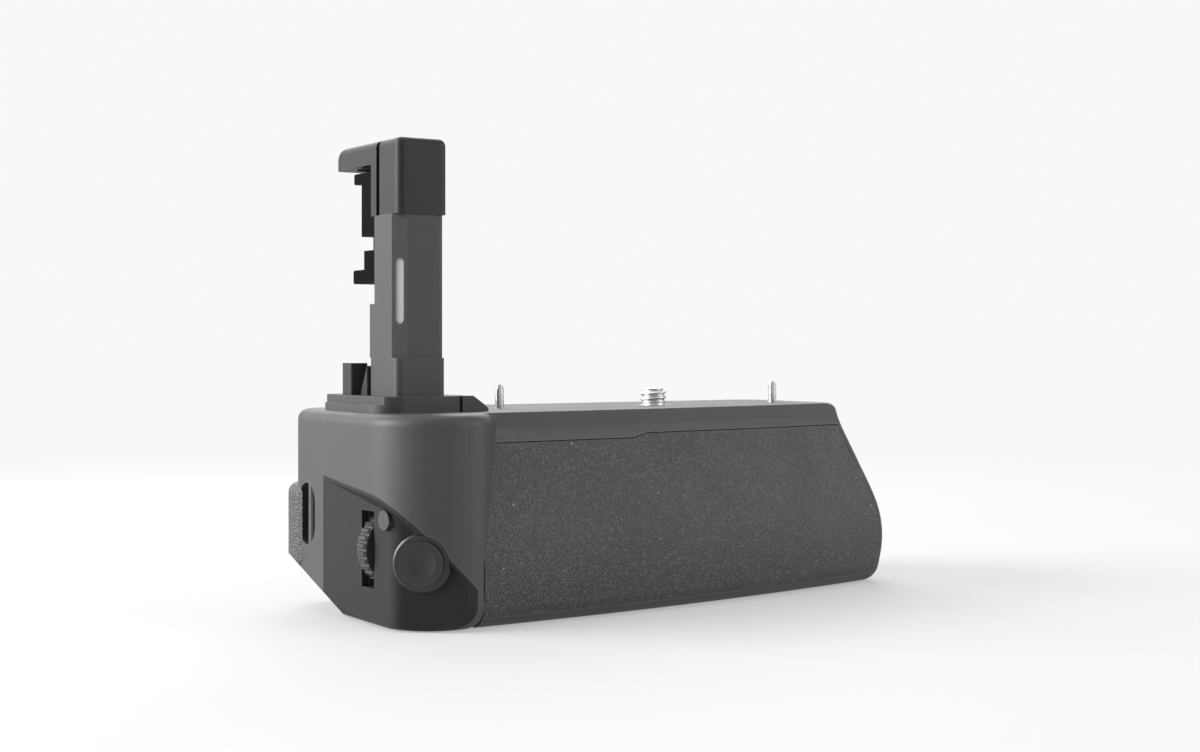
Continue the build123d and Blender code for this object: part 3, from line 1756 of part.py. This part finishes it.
# Stem: a shell open to the back, a cover that closes it, a board inside
with BuildPart() as stem_hollow:
    add(
        block(
            stem_start_x + stem_wall,
            stem_end_x - stem_wall,
            stem_front_y + stem_wall,
            stem_back_y + overrun,
            collar_top_z,
            cap_block_floor_z,
        )
    )
    chamfer(stem_hollow.edges().filter_by(Axis.Z).group_by(Axis.Y)[0].sort_by(Axis.X)[0], stem_bevel)
stem_slot_plane = Plane(
    origin=(
        stem_start_x + stem_bevel / 2,
        stem_front_y + stem_bevel / 2,
        (stem_slot_floor_z + stem_slot_top_z) / 2,
    ),
    x_dir=(0, 0, 1),
    z_dir=(-1, -1, 0),
)
stem_step = block(
    stem_start_x - wall,
    stem_end_x + wall,
    stem_back_y - stem_back_step,
    stem_back_y + overrun,
    stem_back_step_z,
    stem_top_z,
)
with BuildPart() as stem_shell:
    add(block(stem_start_x, stem_end_x, stem_front_y, stem_back_y, collar_top_z, cap_block_floor_z))
    front_edges = stem_shell.edges().filter_by(Axis.Z).group_by(Axis.Y)[0].sort_by(Axis.X)
    chamfer(front_edges[0], stem_bevel)
    fillet(front_edges[-1], stem_round)
    add(stem_hollow.part, mode=Mode.SUBTRACT)
    add(stem_step, mode=Mode.SUBTRACT)
    with BuildSketch(stem_slot_plane):
        SlotOverall(stem_slot_top_z - stem_slot_floor_z, stem_slot_width)
    extrude(amount=-stem_slot_depth, mode=Mode.SUBTRACT)
finish(stem_shell, "stem_shell")

with BuildPart() as stem_light_strip:
    with BuildSketch(stem_slot_plane.offset(-stem_slot_depth)):
        SlotOverall(stem_slot_top_z - stem_slot_floor_z, stem_slot_width)
    extrude(amount=stem_strip_thickness)
finish(stem_light_strip, "stem_light_strip")

with BuildPart() as stem_cover:
    with BuildSketch(Plane.YZ.offset(stem_start_x + stem_wall)):
        Polygon(
            (stem_back_y, collar_top_z),
            (stem_back_y, stem_back_step_z),
            (stem_back_y - stem_back_step, stem_back_step_z),
            (stem_back_y - stem_back_step, cap_block_floor_z),
            (stem_back_y - stem_back_step - stem_cover_thickness, cap_block_floor_z),
            (stem_back_y - stem_back_step - stem_cover_thickness, stem_back_step_z - stem_cover_thickness),
            (stem_back_y - stem_cover_thickness, stem_back_step_z - stem_cover_thickness),
            (stem_back_y - stem_cover_thickness, collar_top_z),
            align=None,
        )
    extrude(amount=stem_end_x - stem_start_x - stem_wall * 2)
finish(stem_cover, "stem_cover")

with BuildPart() as stem_board:
    add(
        block(
            stem_start_x + stem_wall,
            stem_end_x - stem_wall,
            stem_board_y,
            stem_board_y + stem_board_thickness,
            collar_top_z,
            cap_block_floor_z,
        )
    )
finish(stem_board, "stem_board")

# Head of the stem with the arm towards the back
with BuildPart() as stem_head:
    with BuildSketch(Plane.YZ.offset(cap_block_start_x)) as side:
        Polygon(
            (cap_block_front_y, cap_block_floor_z),
            (cap_block_front_y, stem_top_z),
            (arm_back_y, stem_top_z),
            (arm_back_y, arm_floor_z),
            (cap_block_back_y, arm_floor_z),
            (cap_block_back_y, cap_block_floor_z),
            align=None,
        )
        fillet(side.vertices().sort_by_distance((arm_back_y, stem_top_z, 0))[0], arm_round)
    extrude(amount=cap_block_end_x - cap_block_start_x)
    fillet(stem_head.edges().filter_by(Axis.Z).group_by(Axis.Y)[0], cap_block_round)
    fillet(stem_head.edges().filter_by(Axis.Z).group_by(Axis.Y)[-1], cap_block_round)
    add(
        block(
            cap_block_start_x - wall,
            cap_block_start_x + block_groove_depth,
            block_groove_y - block_groove_width / 2,
            block_groove_y + block_groove_width / 2,
            cap_block_floor_z - wall,
            stem_top_z + wall,
        ),
        mode=Mode.SUBTRACT,
    )
    for n in range(terminals):
        x = (cap_block_start_x + cap_block_end_x) / 2 + (n - (terminals - 1) / 2) * terminal_pitch
        add(
            block(
                x - terminal_width / 2,
                x + terminal_width / 2,
                cap_block_front_y + cap_block_round,
                cap_block_front_y + cap_block_round + terminal_height,
                stem_top_z - terminal_depth,
                stem_top_z + wall,
            ),
            mode=Mode.SUBTRACT,
        )
finish(stem_head, "stem_head")

with BuildPart() as stem_terminals:
    for n in range(terminals):
        x = (cap_block_start_x + cap_block_end_x) / 2 + (n - (terminals - 1) / 2) * terminal_pitch
        add(
            block(
                x - terminal_width / 2,
                x + terminal_width / 2,
                cap_block_front_y + cap_block_round,
                cap_block_front_y + cap_block_round + terminal_height,
                stem_top_z - terminal_depth,
                stem_top_z - terminal_depth / 2,
            )
        )
finish(stem_terminals, "stem_terminals")

# Holder for the battery door
with BuildPart() as door_holder:
    holder_back_y = stem_back_y - stem_back_step
    with BuildSketch(Plane.YZ.offset(holder_start_x)):
        Polygon(
            (holder_back_y, holder_floor_z),
            (holder_foot_y, holder_floor_z),
            (holder_foot_y, holder_foot_top_z),
            (holder_lug_y, holder_foot_top_z),
            (holder_lug_y, holder_lug_top_z),
            (holder_spine_y, holder_lug_top_z),
            (holder_spine_y, holder_bar_floor_z),
            (holder_bar_y, holder_bar_floor_z),
            (holder_bar_y, holder_bar_top_z),
            (holder_hook_y, holder_bar_top_z),
            (holder_hook_y, holder_hook_top_z),
            (holder_neck_y, holder_hook_top_z),
            (holder_neck_y, holder_blade_floor_z),
            (holder_blade_y, holder_blade_floor_z),
            (holder_blade_y, holder_blade_top_z),
            (cap_block_back_y, holder_blade_top_z),
            (cap_block_back_y, cap_block_floor_z),
            (holder_back_y, cap_block_floor_z),
            align=None,
        )
    extrude(amount=holder_end_x - holder_start_x)
    fillet(
        door_holder.edges().filter_by(Axis.X).group_by(Axis.Y)[-1]
        + door_holder.edges().filter_by(Axis.X).group_by(Axis.Y)[-2],
        holder_round,
    )
finish(door_holder, "door_holder")

# Connector post with its contacts, and the gusset beside the collar
with BuildPart() as connector_post:
    add(block(post_start_x, post_end_x, post_front_y, post_back_y, island_top_z, post_top_z, post_round))
    contact_recess = block(
        post_start_x + post_contact_inset,
        post_end_x - post_contact_inset,
        post_front_y + post_contact_inset,
        post_back_y - post_contact_inset,
        post_top_z - post_contact,
        post_top_z,
    )
    add(contact_recess, mode=Mode.SUBTRACT)
finish(connector_post, "connector_post")
with BuildPart() as connector_contacts:
    add(contact_recess)
finish(connector_contacts, "connector_contacts")

with BuildPart() as stem_gusset:
    with BuildSketch(Plane.YZ.offset(gusset_x - gusset_thickness / 2)):
        Polygon(
            (collar_back_y, island_top_z),
            (collar_back_y + gusset_reach, island_top_z),
            (collar_back_y, gusset_top_z),
            align=None,
        )
    extrude(amount=gusset_thickness)
finish(stem_gusset, "stem_gusset")
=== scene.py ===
import math

import bmesh
import bpy
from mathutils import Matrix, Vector
from mathutils.bvhtree import BVHTree
from mathutils.interpolate import poly_3d_calc


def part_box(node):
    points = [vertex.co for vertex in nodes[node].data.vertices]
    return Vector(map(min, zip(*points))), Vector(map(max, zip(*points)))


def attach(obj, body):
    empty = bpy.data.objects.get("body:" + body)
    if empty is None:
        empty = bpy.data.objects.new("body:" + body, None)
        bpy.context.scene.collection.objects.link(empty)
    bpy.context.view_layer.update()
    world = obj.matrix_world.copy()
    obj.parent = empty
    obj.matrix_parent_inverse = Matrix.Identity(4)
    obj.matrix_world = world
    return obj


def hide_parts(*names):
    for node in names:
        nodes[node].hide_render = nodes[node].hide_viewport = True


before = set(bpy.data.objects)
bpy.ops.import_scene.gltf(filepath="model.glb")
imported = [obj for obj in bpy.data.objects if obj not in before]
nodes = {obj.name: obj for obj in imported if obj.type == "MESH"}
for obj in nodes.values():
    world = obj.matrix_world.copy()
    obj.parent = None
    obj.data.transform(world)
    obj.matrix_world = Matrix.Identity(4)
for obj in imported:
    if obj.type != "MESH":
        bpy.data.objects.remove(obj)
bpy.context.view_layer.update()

# A millimetre, and the middle of the grip, in metres
MM = 0.001
MIDDLE = Vector((-0.01, 0.0, 0.045))


def srgb(level, warm=0.0):
    """A neutral grey of that 8-bit level as linear colour, a little warm or cool."""
    channels = []
    for shift in (warm, 0.0, -warm):
        c = max(0.0, min(1.0, (level + shift) / 255))
        channels.append(c / 12.92 if c <= 0.04045 else ((c + 0.055) / 1.055) ** 2.4)
    return (*channels, 1.0)


def new_material(name):
    """A material with its node tree, its shader and its object coordinates."""
    material = bpy.data.materials.new(name)
    material.use_nodes = True
    tree = material.node_tree
    coordinates = add_node(tree, "ShaderNodeTexCoord").outputs["Object"]
    return material, tree, tree.nodes["Principled BSDF"], coordinates


def add_node(tree, kind, **values):
    """A node with its sockets and settings set by name."""
    node = tree.nodes.new(kind)
    for key, value in values.items():
        if key in node.inputs:
            node.inputs[key].default_value = value
        else:
            setattr(node, key, value)
    return node


def textured(tree, kind, vector, **values):
    """A texture or mapping node that reads the given coordinates."""
    node = add_node(tree, kind, **values)
    tree.links.new(vector, node.inputs["Vector"])
    return node


def mixed(tree, factor, low, high):
    """A colour between two colours or sockets."""
    node = add_node(tree, "ShaderNodeMix", data_type="RGBA")
    for place, value in (("A", low), ("B", high)):
        if isinstance(value, tuple):
            node.inputs[place].default_value = value
        else:
            tree.links.new(value, node.inputs[place])
    tree.links.new(factor, node.inputs["Factor"])
    return node.outputs["Result"]


def ranged(tree, source, low, high, start=0.0, end=1.0, kind="LINEAR"):
    """A socket that runs from low to high while the source runs from start to end."""
    node = add_node(tree, "ShaderNodeMapRange", interpolation_type=kind)
    node.inputs["From Min"].default_value = start
    node.inputs["From Max"].default_value = end
    node.inputs["To Min"].default_value = low
    node.inputs["To Max"].default_value = high
    tree.links.new(source, node.inputs["Value"])
    return node.outputs["Result"]


def bumped(tree, shader, height, distance, strength=1.0):
    """Relief of that depth on the shader's surface."""
    node = add_node(tree, "ShaderNodeBump", Strength=strength, Distance=distance)
    tree.links.new(height, node.inputs["Height"])
    tree.links.new(node.outputs["Normal"], shader.inputs["Normal"])


def edge_wear_and_highlight(tree, amount):
    """How pale a surface's edges are painted, partly as wear and partly as painted highlight: nothing on
    its faces, more along its edges.
    """
    edge = add_node(tree, "ShaderNodeBevel", samples=4, Radius=0.5 * MM)
    geometry = add_node(tree, "ShaderNodeNewGeometry")
    difference = add_node(tree, "ShaderNodeVectorMath", operation="DISTANCE")
    tree.links.new(edge.outputs["Normal"], difference.inputs[0])
    tree.links.new(geometry.outputs["Normal"], difference.inputs[1])
    edge_paling = add_node(tree, "ShaderNodeMath", operation="MULTIPLY", use_clamp=True)
    tree.links.new(difference.outputs["Value"], edge_paling.inputs[0])
    edge_paling.inputs[1].default_value = amount
    return edge_paling.outputs["Value"]


def moulded(name, level, grain, depth, roughness, warm=0.0, wear_and_highlight=0.25, spread=6.0, specular=0.5):
    """Moulded plastic: grain in the bump, blotchy colour and roughness, paler edges for wear and painted
    highlight; grain in mm.
    """
    worn_and_lit_level = level + 45
    rough_spread = 0.09
    material, tree, shader, coordinates = new_material(name)
    grains = 1 / (grain * MM)
    fine = textured(tree, "ShaderNodeTexNoise", coordinates, Scale=grains, Detail=3.0, Roughness=0.6)
    cloud = textured(tree, "ShaderNodeTexNoise", coordinates, Scale=70.0, Detail=4.0, Roughness=0.65)
    blotches = cloud.outputs["Fac"]
    base = mixed(tree, blotches, srgb(level - spread, warm), srgb(level + spread, warm))
    colour = mixed(tree, edge_wear_and_highlight(tree, wear_and_highlight), base, srgb(worn_and_lit_level, warm))
    tree.links.new(colour, shader.inputs["Base Color"])
    rough = ranged(tree, blotches, roughness - rough_spread, roughness + rough_spread)
    tree.links.new(rough, shader.inputs["Roughness"])
    bumped(tree, shader, fine.outputs["Fac"], depth * MM)
    shader.inputs["Specular IOR Level"].default_value = specular
    return material


def pebbled(name, level):
    """Grip rubber: packed pebbles about 0.45 mm across, painted shade in the gaps between them, some
    pebbles paler as a random tone and as painted glints, with a little dust.
    """
    pebbles_to_a_metre = 2200.0
    pebble_foot = 0.75
    plain_share = 0.72
    shaded_gap_level, lit_top_level, pale_glint_level = level - 14, level + 8, level + 22
    speck_radius = 0.035
    dust = srgb(128, 10.0)
    material, tree, shader, coordinates = new_material(name)
    cells = textured(
        tree, "ShaderNodeTexVoronoi", coordinates, Scale=pebbles_to_a_metre, feature="SMOOTH_F1"
    )
    cells.inputs["Smoothness"].default_value = 0.35
    grains = textured(tree, "ShaderNodeTexVoronoi", coordinates, Scale=pebbles_to_a_metre)
    chance = add_node(tree, "ShaderNodeSeparateColor")
    tree.links.new(grains.outputs["Color"], chance.inputs["Color"])
    cloud = textured(tree, "ShaderNodeTexNoise", coordinates, Scale=55.0, Detail=5.0, Roughness=0.6)
    height = ranged(tree, cells.outputs["Distance"], 1.0, 0.0, end=pebble_foot)
    # Gaps darker and pebble tops lighter: painted shade and painted light.
    plain = mixed(tree, height, srgb(shaded_gap_level), srgb(lit_top_level))
    # Some pebbles paler at random: a random tone that also paints glints.
    glint_pick = ranged(tree, chance.outputs["Red"], 0.0, 1.0, start=plain_share)
    pebbles = mixed(tree, glint_pick, plain, srgb(pale_glint_level))
    specks = textured(tree, "ShaderNodeTexVoronoi", coordinates, Scale=150.0)
    near = add_node(tree, "ShaderNodeMath", operation="LESS_THAN")
    near.inputs[1].default_value = speck_radius
    tree.links.new(specks.outputs["Distance"], near.inputs[0])
    dusty = mixed(tree, near.outputs["Value"], pebbles, dust)
    tree.links.new(dusty, shader.inputs["Base Color"])
    tree.links.new(ranged(tree, cloud.outputs["Fac"], 0.44, 0.64), shader.inputs["Roughness"])
    bumped(tree, shader, height, 0.12 * MM)
    shader.inputs["Specular IOR Level"].default_value = 0.5
    return material


def turned(name, level, roughness, warm=0.0):
    """Turned or plated metal with fine tool marks round its axis."""
    dull_level, bright_level = level - 16, level + 10
    smoothest, roughest = roughness - 0.1, roughness + 0.12
    material, tree, shader, coordinates = new_material(name)
    stretch = textured(tree, "ShaderNodeMapping", coordinates)
    stretch.inputs["Scale"].default_value = (400.0, 400.0, 9000.0)
    marks = textured(tree, "ShaderNodeTexNoise", stretch.outputs["Vector"], Scale=1.0, Detail=3.0)
    cloud = textured(tree, "ShaderNodeTexNoise", coordinates, Scale=260.0, Detail=4.0)
    colour = mixed(tree, cloud.outputs["Fac"], srgb(dull_level, warm), srgb(bright_level, warm))
    tree.links.new(colour, shader.inputs["Base Color"])
    rough = ranged(tree, marks.outputs["Fac"], smoothest, roughest)
    tree.links.new(rough, shader.inputs["Roughness"])
    bumped(tree, shader, marks.outputs["Fac"], 0.02 * MM, strength=0.35)
    shader.inputs["Metallic"].default_value = 1.0
    return material


# Plastics
# The casing's paler edges are partly wear and partly painted highlight along its rims.
casing_look = moulded("casing_plastic", level=52, grain=0.28, depth=0.035, roughness=0.56, wear_and_highlight=0.5)
stem_look = moulded("stem_plastic", level=46, grain=0.22, depth=0.02, roughness=0.55)
head_look = moulded("stem_head_plastic", level=21, grain=0.22, depth=0.02, roughness=0.52, specular=0.35)
deck_look = moulded(
    "deck_plastic", level=28, grain=0.25, depth=0.03, roughness=0.6, spread=4.0, specular=0.22
)
top_look = moulded("seat_plate_plastic", level=54, grain=0.3, depth=0.03, roughness=0.6)
control_look = moulded("control_plastic", level=28, grain=0.2, depth=0.015, roughness=0.4, wear_and_highlight=0.4)
button_look = moulded("function_button_plastic", level=44, grain=0.2, depth=0.015, roughness=0.4, wear_and_highlight=0.3)
black_look = moulded(
    "holder_plastic", level=7, grain=0.25, depth=0.015, roughness=0.6, wear_and_highlight=0.05, spread=2.0, specular=0.03
)
post_look = moulded(
    "post_plastic", level=46, grain=0.25, depth=0.015, roughness=0.5, wear_and_highlight=0.1, spread=3.0, specular=0.2
)
tray_look = moulded("tray_plastic", level=40, grain=0.3, depth=0.02, roughness=0.5)
battery_look = moulded("battery_plastic", level=74, grain=0.3, depth=0.02, roughness=0.5, warm=1.0)
board_look = moulded("board_mask", level=52, grain=0.6, depth=0.02, roughness=0.35, warm=-3.0)
switch_look = moulded("switch_plastic", level=28, grain=0.25, depth=0.01, roughness=0.4)
strip_look = moulded("strip_plastic", level=168, grain=0.3, depth=0.015, roughness=0.45, wear_and_highlight=0.1)
bar_look = moulded("bar_coating", level=66, grain=0.3, depth=0.02, roughness=0.35, wear_and_highlight=0.6)

# Rubber and metal
rubber_look = pebbled("grip_rubber", level=50)
thumb_look = pebbled("thumb_rubber", level=58)
steel_look = turned("pin_steel", level=200, roughness=0.26, warm=4.0)
screw_look = turned("screw_steel", level=218, roughness=0.42, warm=-3.0)
gear_look = turned("gear_steel", level=170, roughness=0.36)
contact_look = turned("contact_gilt", level=205, roughness=0.3, warm=34.0)

# Which material each CAD node wears
looks = {
    "front_shell": casing_look,
    "rear_shell": casing_look,
    "magazine_cap": casing_look,
    "control_deck": deck_look,
    "front_grip_rubber": rubber_look,
    "thumb_rest_rubber": thumb_look,
    "top_plate": top_look,
    "base_plate": top_look,
    "stem_base": stem_look,
    "stem_shell": stem_look,
    "stem_cover": stem_look,
    "stem_head": head_look,
    "door_holder": black_look,
    "connector_post": post_look,
    "stem_gusset": post_look,
    "shutter_collar": control_look,
    "shutter_button": control_look,
    "main_dial": control_look,
    "function_button": button_look,
    "rear_button_left": control_look,
    "rear_button_middle": control_look,
    "rear_button_right": control_look,
    "stick_base": control_look,
    "thumb_stick": thumb_look,
    "power_lever": control_look,
    "release_knob": control_look,
    "attachment_wheel": control_look,
    "chassis": tray_look,
    "dial_bracket": tray_look,
    "magazine_tray": tray_look,
    "screw_bush": switch_look,
    "battery_inner": battery_look,
    "battery_outer": battery_look,
    "main_board": board_look,
    "stem_board": board_look,
    "shutter_switch": switch_look,
    "function_switch": switch_look,
    "rear_switches": switch_look,
    "bay_contacts": switch_look,
    "magazine_contacts": contact_look,
    "stem_terminals": contact_look,
    "connector_contacts": contact_look,
    "stem_light_strip": strip_look,
    "attachment_screw": screw_look,
    "screw_gear": gear_look,
    "wheel_gear": gear_look,
    "screw_clip": gear_look,
    "wheel_axle": gear_look,
    "dial_axle": gear_look,
    "locating_pin_left": steel_look,
    "locating_pin_right": steel_look,
    "tripod_socket": steel_look,
    "strap_bar": bar_look,
    "base_screws": screw_look,
    "latch_tongue": gear_look,
}
for name, obj in nodes.items():
    if not obj.material_slots:
        obj.data.materials.append(looks[name])
    for place in obj.material_slots:
        place.link = "DATA"
        place.material = looks[name]


def place_mesh(mesh, name):
    """An object in the scene from a finished bmesh."""
    data = bpy.data.meshes.new(name)
    mesh.to_mesh(data)
    mesh.free()
    obj = bpy.data.objects.new(name, data)
    bpy.context.scene.collection.objects.link(obj)
    return obj


def threaded_screw(name, stations, pitch, thread_floor, depth):
    """A turned bar through (radius, height) stations in mm, with a helical thread above thread_floor."""
    around = 72
    levels_to_a_pitch = 12
    smallest_threaded = 2.6
    core_radius = 1.9
    flank_slope = 2.6
    crest_share = 0.15
    step = pitch / levels_to_a_pitch
    mesh = bmesh.new()
    levels = []
    for (r0, z0), (r1, z1) in zip(stations, stations[1:]):
        count = max(1, round((z1 - z0) / step))
        for n in range(count):
            share = n / count
            levels.append((r0 + (r1 - r0) * share, z0 + (z1 - z0) * share))
    levels.append(stations[-1])
    rings = []
    for radius, z in levels:
        ring = []
        for n in range(around):
            turn = n / around
            phase = (z / pitch - turn) % 1.0
            groove = min(1.0, max(0.0, flank_slope * abs(phase - 0.5) - crest_share))
            threaded = z > thread_floor and radius > smallest_threaded
            r = max(radius - (depth * groove if threaded else 0.0), core_radius)
            angle = turn * math.tau
            ring.append(mesh.verts.new((r * math.cos(angle) * MM, r * math.sin(angle) * MM, z * MM)))
        rings.append(ring)
    for low, high in zip(rings, rings[1:]):
        for n in range(around):
            m = (n + 1) % around
            mesh.faces.new((low[n], low[m], high[m], high[n]))
    mesh.faces.new(list(reversed(rings[0])))
    mesh.faces.new(rings[-1])
    for face in mesh.faces:
        face.smooth = len(face.verts) == 4
    return place_mesh(mesh, name)


# The camera screw with its 1/4 inch thread, 20 to the inch, in place of the plain one
low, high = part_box("attachment_screw")
screw_floor = low[2] / MM
screw_top = high[2] / MM
spigot_radius = 2.0
bar_radius = 3.175
neck_radius = 2.7
tip_radius = 2.4
face_radius = 2.2
spigot_top = screw_floor + 1.4
neck_floor = screw_top - 4.2
neck_top = screw_top - 3.4
chamfer_floor = screw_top - 0.85
chamfer_top = screw_top - 0.05
shoulder = 0.01
screw = threaded_screw(
    "attachment_screw_thread",
    [
        (spigot_radius, screw_floor),
        (spigot_radius, spigot_top - shoulder),
        (bar_radius, spigot_top),
        (bar_radius, neck_floor),
        (neck_radius, neck_floor + shoulder),
        (neck_radius, neck_top - shoulder),
        (bar_radius, neck_top + 0.2),
        (bar_radius, chamfer_floor),
        (tip_radius, chamfer_top),
        (face_radius, screw_top),
    ],
    pitch=1.27,
    thread_floor=neck_top + 0.1,
    depth=0.55,
)
screw.data.materials.append(screw_look)
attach(screw, "screw")
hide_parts("attachment_screw")


def corner_cutter(reach, turn, lean):
    """A bar that leaves the end's top edge round.

    reach is that edge's place along the turned x, in mm, and lean is how far the wall under it
    leans out for each mm down.
    """
    radius = 3.5
    half_length = 60.0
    steps = 24
    seat_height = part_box("front_shell")[1][2] / MM
    half = math.acos(-lean / math.hypot(lean, 1.0)) / 2
    centre_u = reach - radius / math.tan(half)
    profile = []
    for n in range(steps + 1):
        angle = math.pi / 2 - (math.pi - 2 * half) * n / steps
        profile.append(
            (centre_u + radius * math.cos(angle), seat_height - radius + radius * math.sin(angle))
        )
    profile.append((profile[-1][0] + radius, profile[-1][1]))
    profile.append((profile[-1][0], seat_height + radius))
    profile.append((centre_u, seat_height + radius))
    mesh = bmesh.new()
    along, across = math.cos(turn), math.sin(turn)
    near, far = [
        [
            mesh.verts.new(((u * along - w * across) * MM, (u * across + w * along) * MM, z * MM))
            for u, z in profile
        ]
        for w in (-half_length, half_length)
    ]
    for n in range(len(profile)):
        m = (n + 1) % len(profile)
        mesh.faces.new((near[n], near[m], far[m], far[n]))
    mesh.faces.new(list(reversed(near)))
    mesh.faces.new(far)
    bmesh.ops.recalc_face_normals(mesh, faces=mesh.faces)
    return place_mesh(mesh, "corner_cutter")


def keep_shading(made, source):
    """Give a cut copy the normals of the mesh that it comes from, and even ones on its new faces."""
    same_surface = 0.002 * MM
    same_round = 0.8
    places = [source.matrix_world @ vertex.co for vertex in source.data.vertices]
    faces = [tuple(face.vertices) for face in source.data.polygons]
    turn = source.matrix_world.to_3x3()
    tree = BVHTree.FromPolygons(places, faces)
    corner = source.data.corner_normals
    normals = [None] * len(made.loops)
    sums = {}
    for face in made.polygons:
        probe = made.vertices[face.vertices[0]].co.lerp(face.center, 0.9)
        distance = tree.find_nearest(probe)[3]
        if distance > same_surface:
            for n in face.vertices:
                sums[n] = sums.get(n, Vector()) + face.normal * face.area
            continue
        for place in face.loop_indices:
            point = made.vertices[made.loops[place].vertex_index].co
            index = tree.find_nearest(point.lerp(face.center, 0.05))[2]
            shares = poly_3d_calc([places[n] for n in faces[index]], point)
            normal = Vector()
            for share, loop in zip(shares, source.data.polygons[index].loop_indices):
                normal += turn @ corner[loop].vector * share
            normals[place] = normal.normalized()
    for face in made.polygons:
        for place in face.loop_indices:
            if normals[place] is None:
                even = sums[made.loops[place].vertex_index].normalized()
                normals[place] = even if even.dot(face.normal) > same_round else face.normal.copy()
    made.polygons.foreach_set("use_smooth", [True] * len(made.polygons))
    made.normals_split_custom_set(normals)


def rounded_copy(node, cutters):
    """A copy of a casing half with its top right corner rounded, in place of the plain one."""
    source = nodes[node]
    mesh = bmesh.new()
    mesh.from_mesh(source.data)
    bmesh.ops.transform(mesh, matrix=source.matrix_world, verts=mesh.verts)
    bmesh.ops.remove_doubles(mesh, verts=mesh.verts, dist=0.002 * MM)
    obj = place_mesh(mesh, node + "_rounded")
    for cutter in cutters:
        cut = obj.modifiers.new("cut", "BOOLEAN")
        cut.operation = "DIFFERENCE"
        cut.solver = "EXACT"
        cut.object = cutter
    graph = bpy.context.evaluated_depsgraph_get()
    made = bpy.data.meshes.new_from_object(obj.evaluated_get(graph))
    obj.modifiers.clear()
    obj.data = made
    made.materials.clear()
    made.materials.append(casing_look)
    keep_shading(made, source)
    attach(obj, "grip")
    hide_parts(node)


# The corner where the right end meets the seat is round: along the end, and round both its corners
end_cutter = corner_cutter(reach=50.7, turn=0.0, lean=0.39)
front_cutter = corner_cutter(reach=41.95, turn=-math.pi / 4, lean=0.28)
back_cutter = corner_cutter(reach=51.1, turn=math.pi / 4, lean=0.53)
rounded_copy("front_shell", (end_cutter, front_cutter))
rounded_copy("rear_shell", (end_cutter, back_cutter))
for cutter in (end_cutter, front_cutter, back_cutter):
    bpy.data.objects.remove(cutter)

# Floor, a wide pale sheet that fades into the white of the surroundings, and glows in part near the grip
# as painted light
bpy.ops.mesh.primitive_plane_add(size=24.0, location=(0.0, 0.0, -0.1 * MM))
floor = bpy.context.object
floor.name = "floor"
floor_look, tree, shader, coordinates = new_material("floor_paper")
fibre = textured(tree, "ShaderNodeTexNoise", coordinates, Scale=900.0, Detail=4.0)
cloud = textured(tree, "ShaderNodeTexNoise", coordinates, Scale=9.0, Detail=3.0)
paper = mixed(tree, cloud.outputs["Fac"], srgb(188, 1.0), srgb(194, 1.0))
tree.links.new(paper, shader.inputs["Base Color"])
bumped(tree, shader, fibre.outputs["Fac"], 0.03 * MM, strength=0.3)
shader.inputs["Roughness"].default_value = 0.75
shader.inputs["Specular IOR Level"].default_value = 0.2
away = add_node(tree, "ShaderNodeVectorMath", operation="LENGTH")
tree.links.new(coordinates, away.inputs[0])
# Near the grip the floor is still part glow: painted light that lightens the grip's cast shadow and its
# underside.
near_glow_share, far_glow_share = 0.4, 1.0
glow_share = ranged(
    tree, away.outputs["Value"], near_glow_share, far_glow_share, start=0.18, end=0.6, kind="SMOOTHSTEP"
)
glow = add_node(tree, "ShaderNodeEmission", Color=srgb(248))
blend = add_node(tree, "ShaderNodeMixShader")
tree.links.new(glow_share, blend.inputs["Fac"])
tree.links.new(shader.outputs["BSDF"], blend.inputs[1])
tree.links.new(glow.outputs["Emission"], blend.inputs[2])
tree.links.new(blend.outputs["Shader"], tree.nodes["Material Output"].inputs["Surface"])
floor.data.materials.append(floor_look)

# White surroundings for the camera, a softer light for the object
world = bpy.data.worlds.new("studio")
bpy.context.scene.world = world
world.use_nodes = True
tree = world.node_tree
background = tree.nodes["Background"]
path = add_node(tree, "ShaderNodeLightPath")
background.inputs["Color"].default_value = (1.0, 1.0, 1.0, 1.0)
lit_strength, seen_strength = 0.55, 0.94
strength = ranged(tree, path.outputs["Is Camera Ray"], lit_strength, seen_strength)
tree.links.new(strength, background.inputs["Strength"])


def soft_light(name, place, size, power):
    """An area light that faces the middle of the grip."""
    lamp = bpy.data.lights.new(name, "AREA")
    lamp.shape = "RECTANGLE"
    lamp.size, lamp.size_y = size
    lamp.energy = power
    obj = bpy.data.objects.new(name, lamp)
    bpy.context.scene.collection.objects.link(obj)
    obj.location = place
    obj.rotation_euler = (MIDDLE - Vector(place)).to_track_quat("-Z", "Y").to_euler()


soft_light("window_left", place=(-1.55, 0.75, 0.7), size=(1.4, 1.2), power=70.0)
soft_light("window_back", place=(0.55, 1.5, 1.1), size=(1.8, 1.1), power=26.0)
soft_light("front_right", place=(1.35, -1.25, 0.7), size=(1.1, 1.1), power=18.0)
soft_light("ceiling", place=(0.0, 0.2, 1.8), size=(1.6, 1.6), power=9.0)

# Camera: level, a little above the seat, 33 degrees round to the left of the front
heading = Vector((0.5446, 0.8387, 0.0))
camera_data = bpy.data.cameras.new("camera")
camera = bpy.data.objects.new("camera", camera_data)
bpy.context.scene.collection.objects.link(camera)
camera.location = (-0.2419, -0.3485, 0.05956)
camera.rotation_euler = heading.to_track_quat("-Z", "Y").to_euler()
camera_data.sensor_width = 36.0
camera_data.lens = 51.93
camera_data.shift_y = -0.0237
camera_data.clip_start = 0.01
bpy.context.scene.camera = camera
bpy.context.scene.view_settings.view_transform = "Standard"
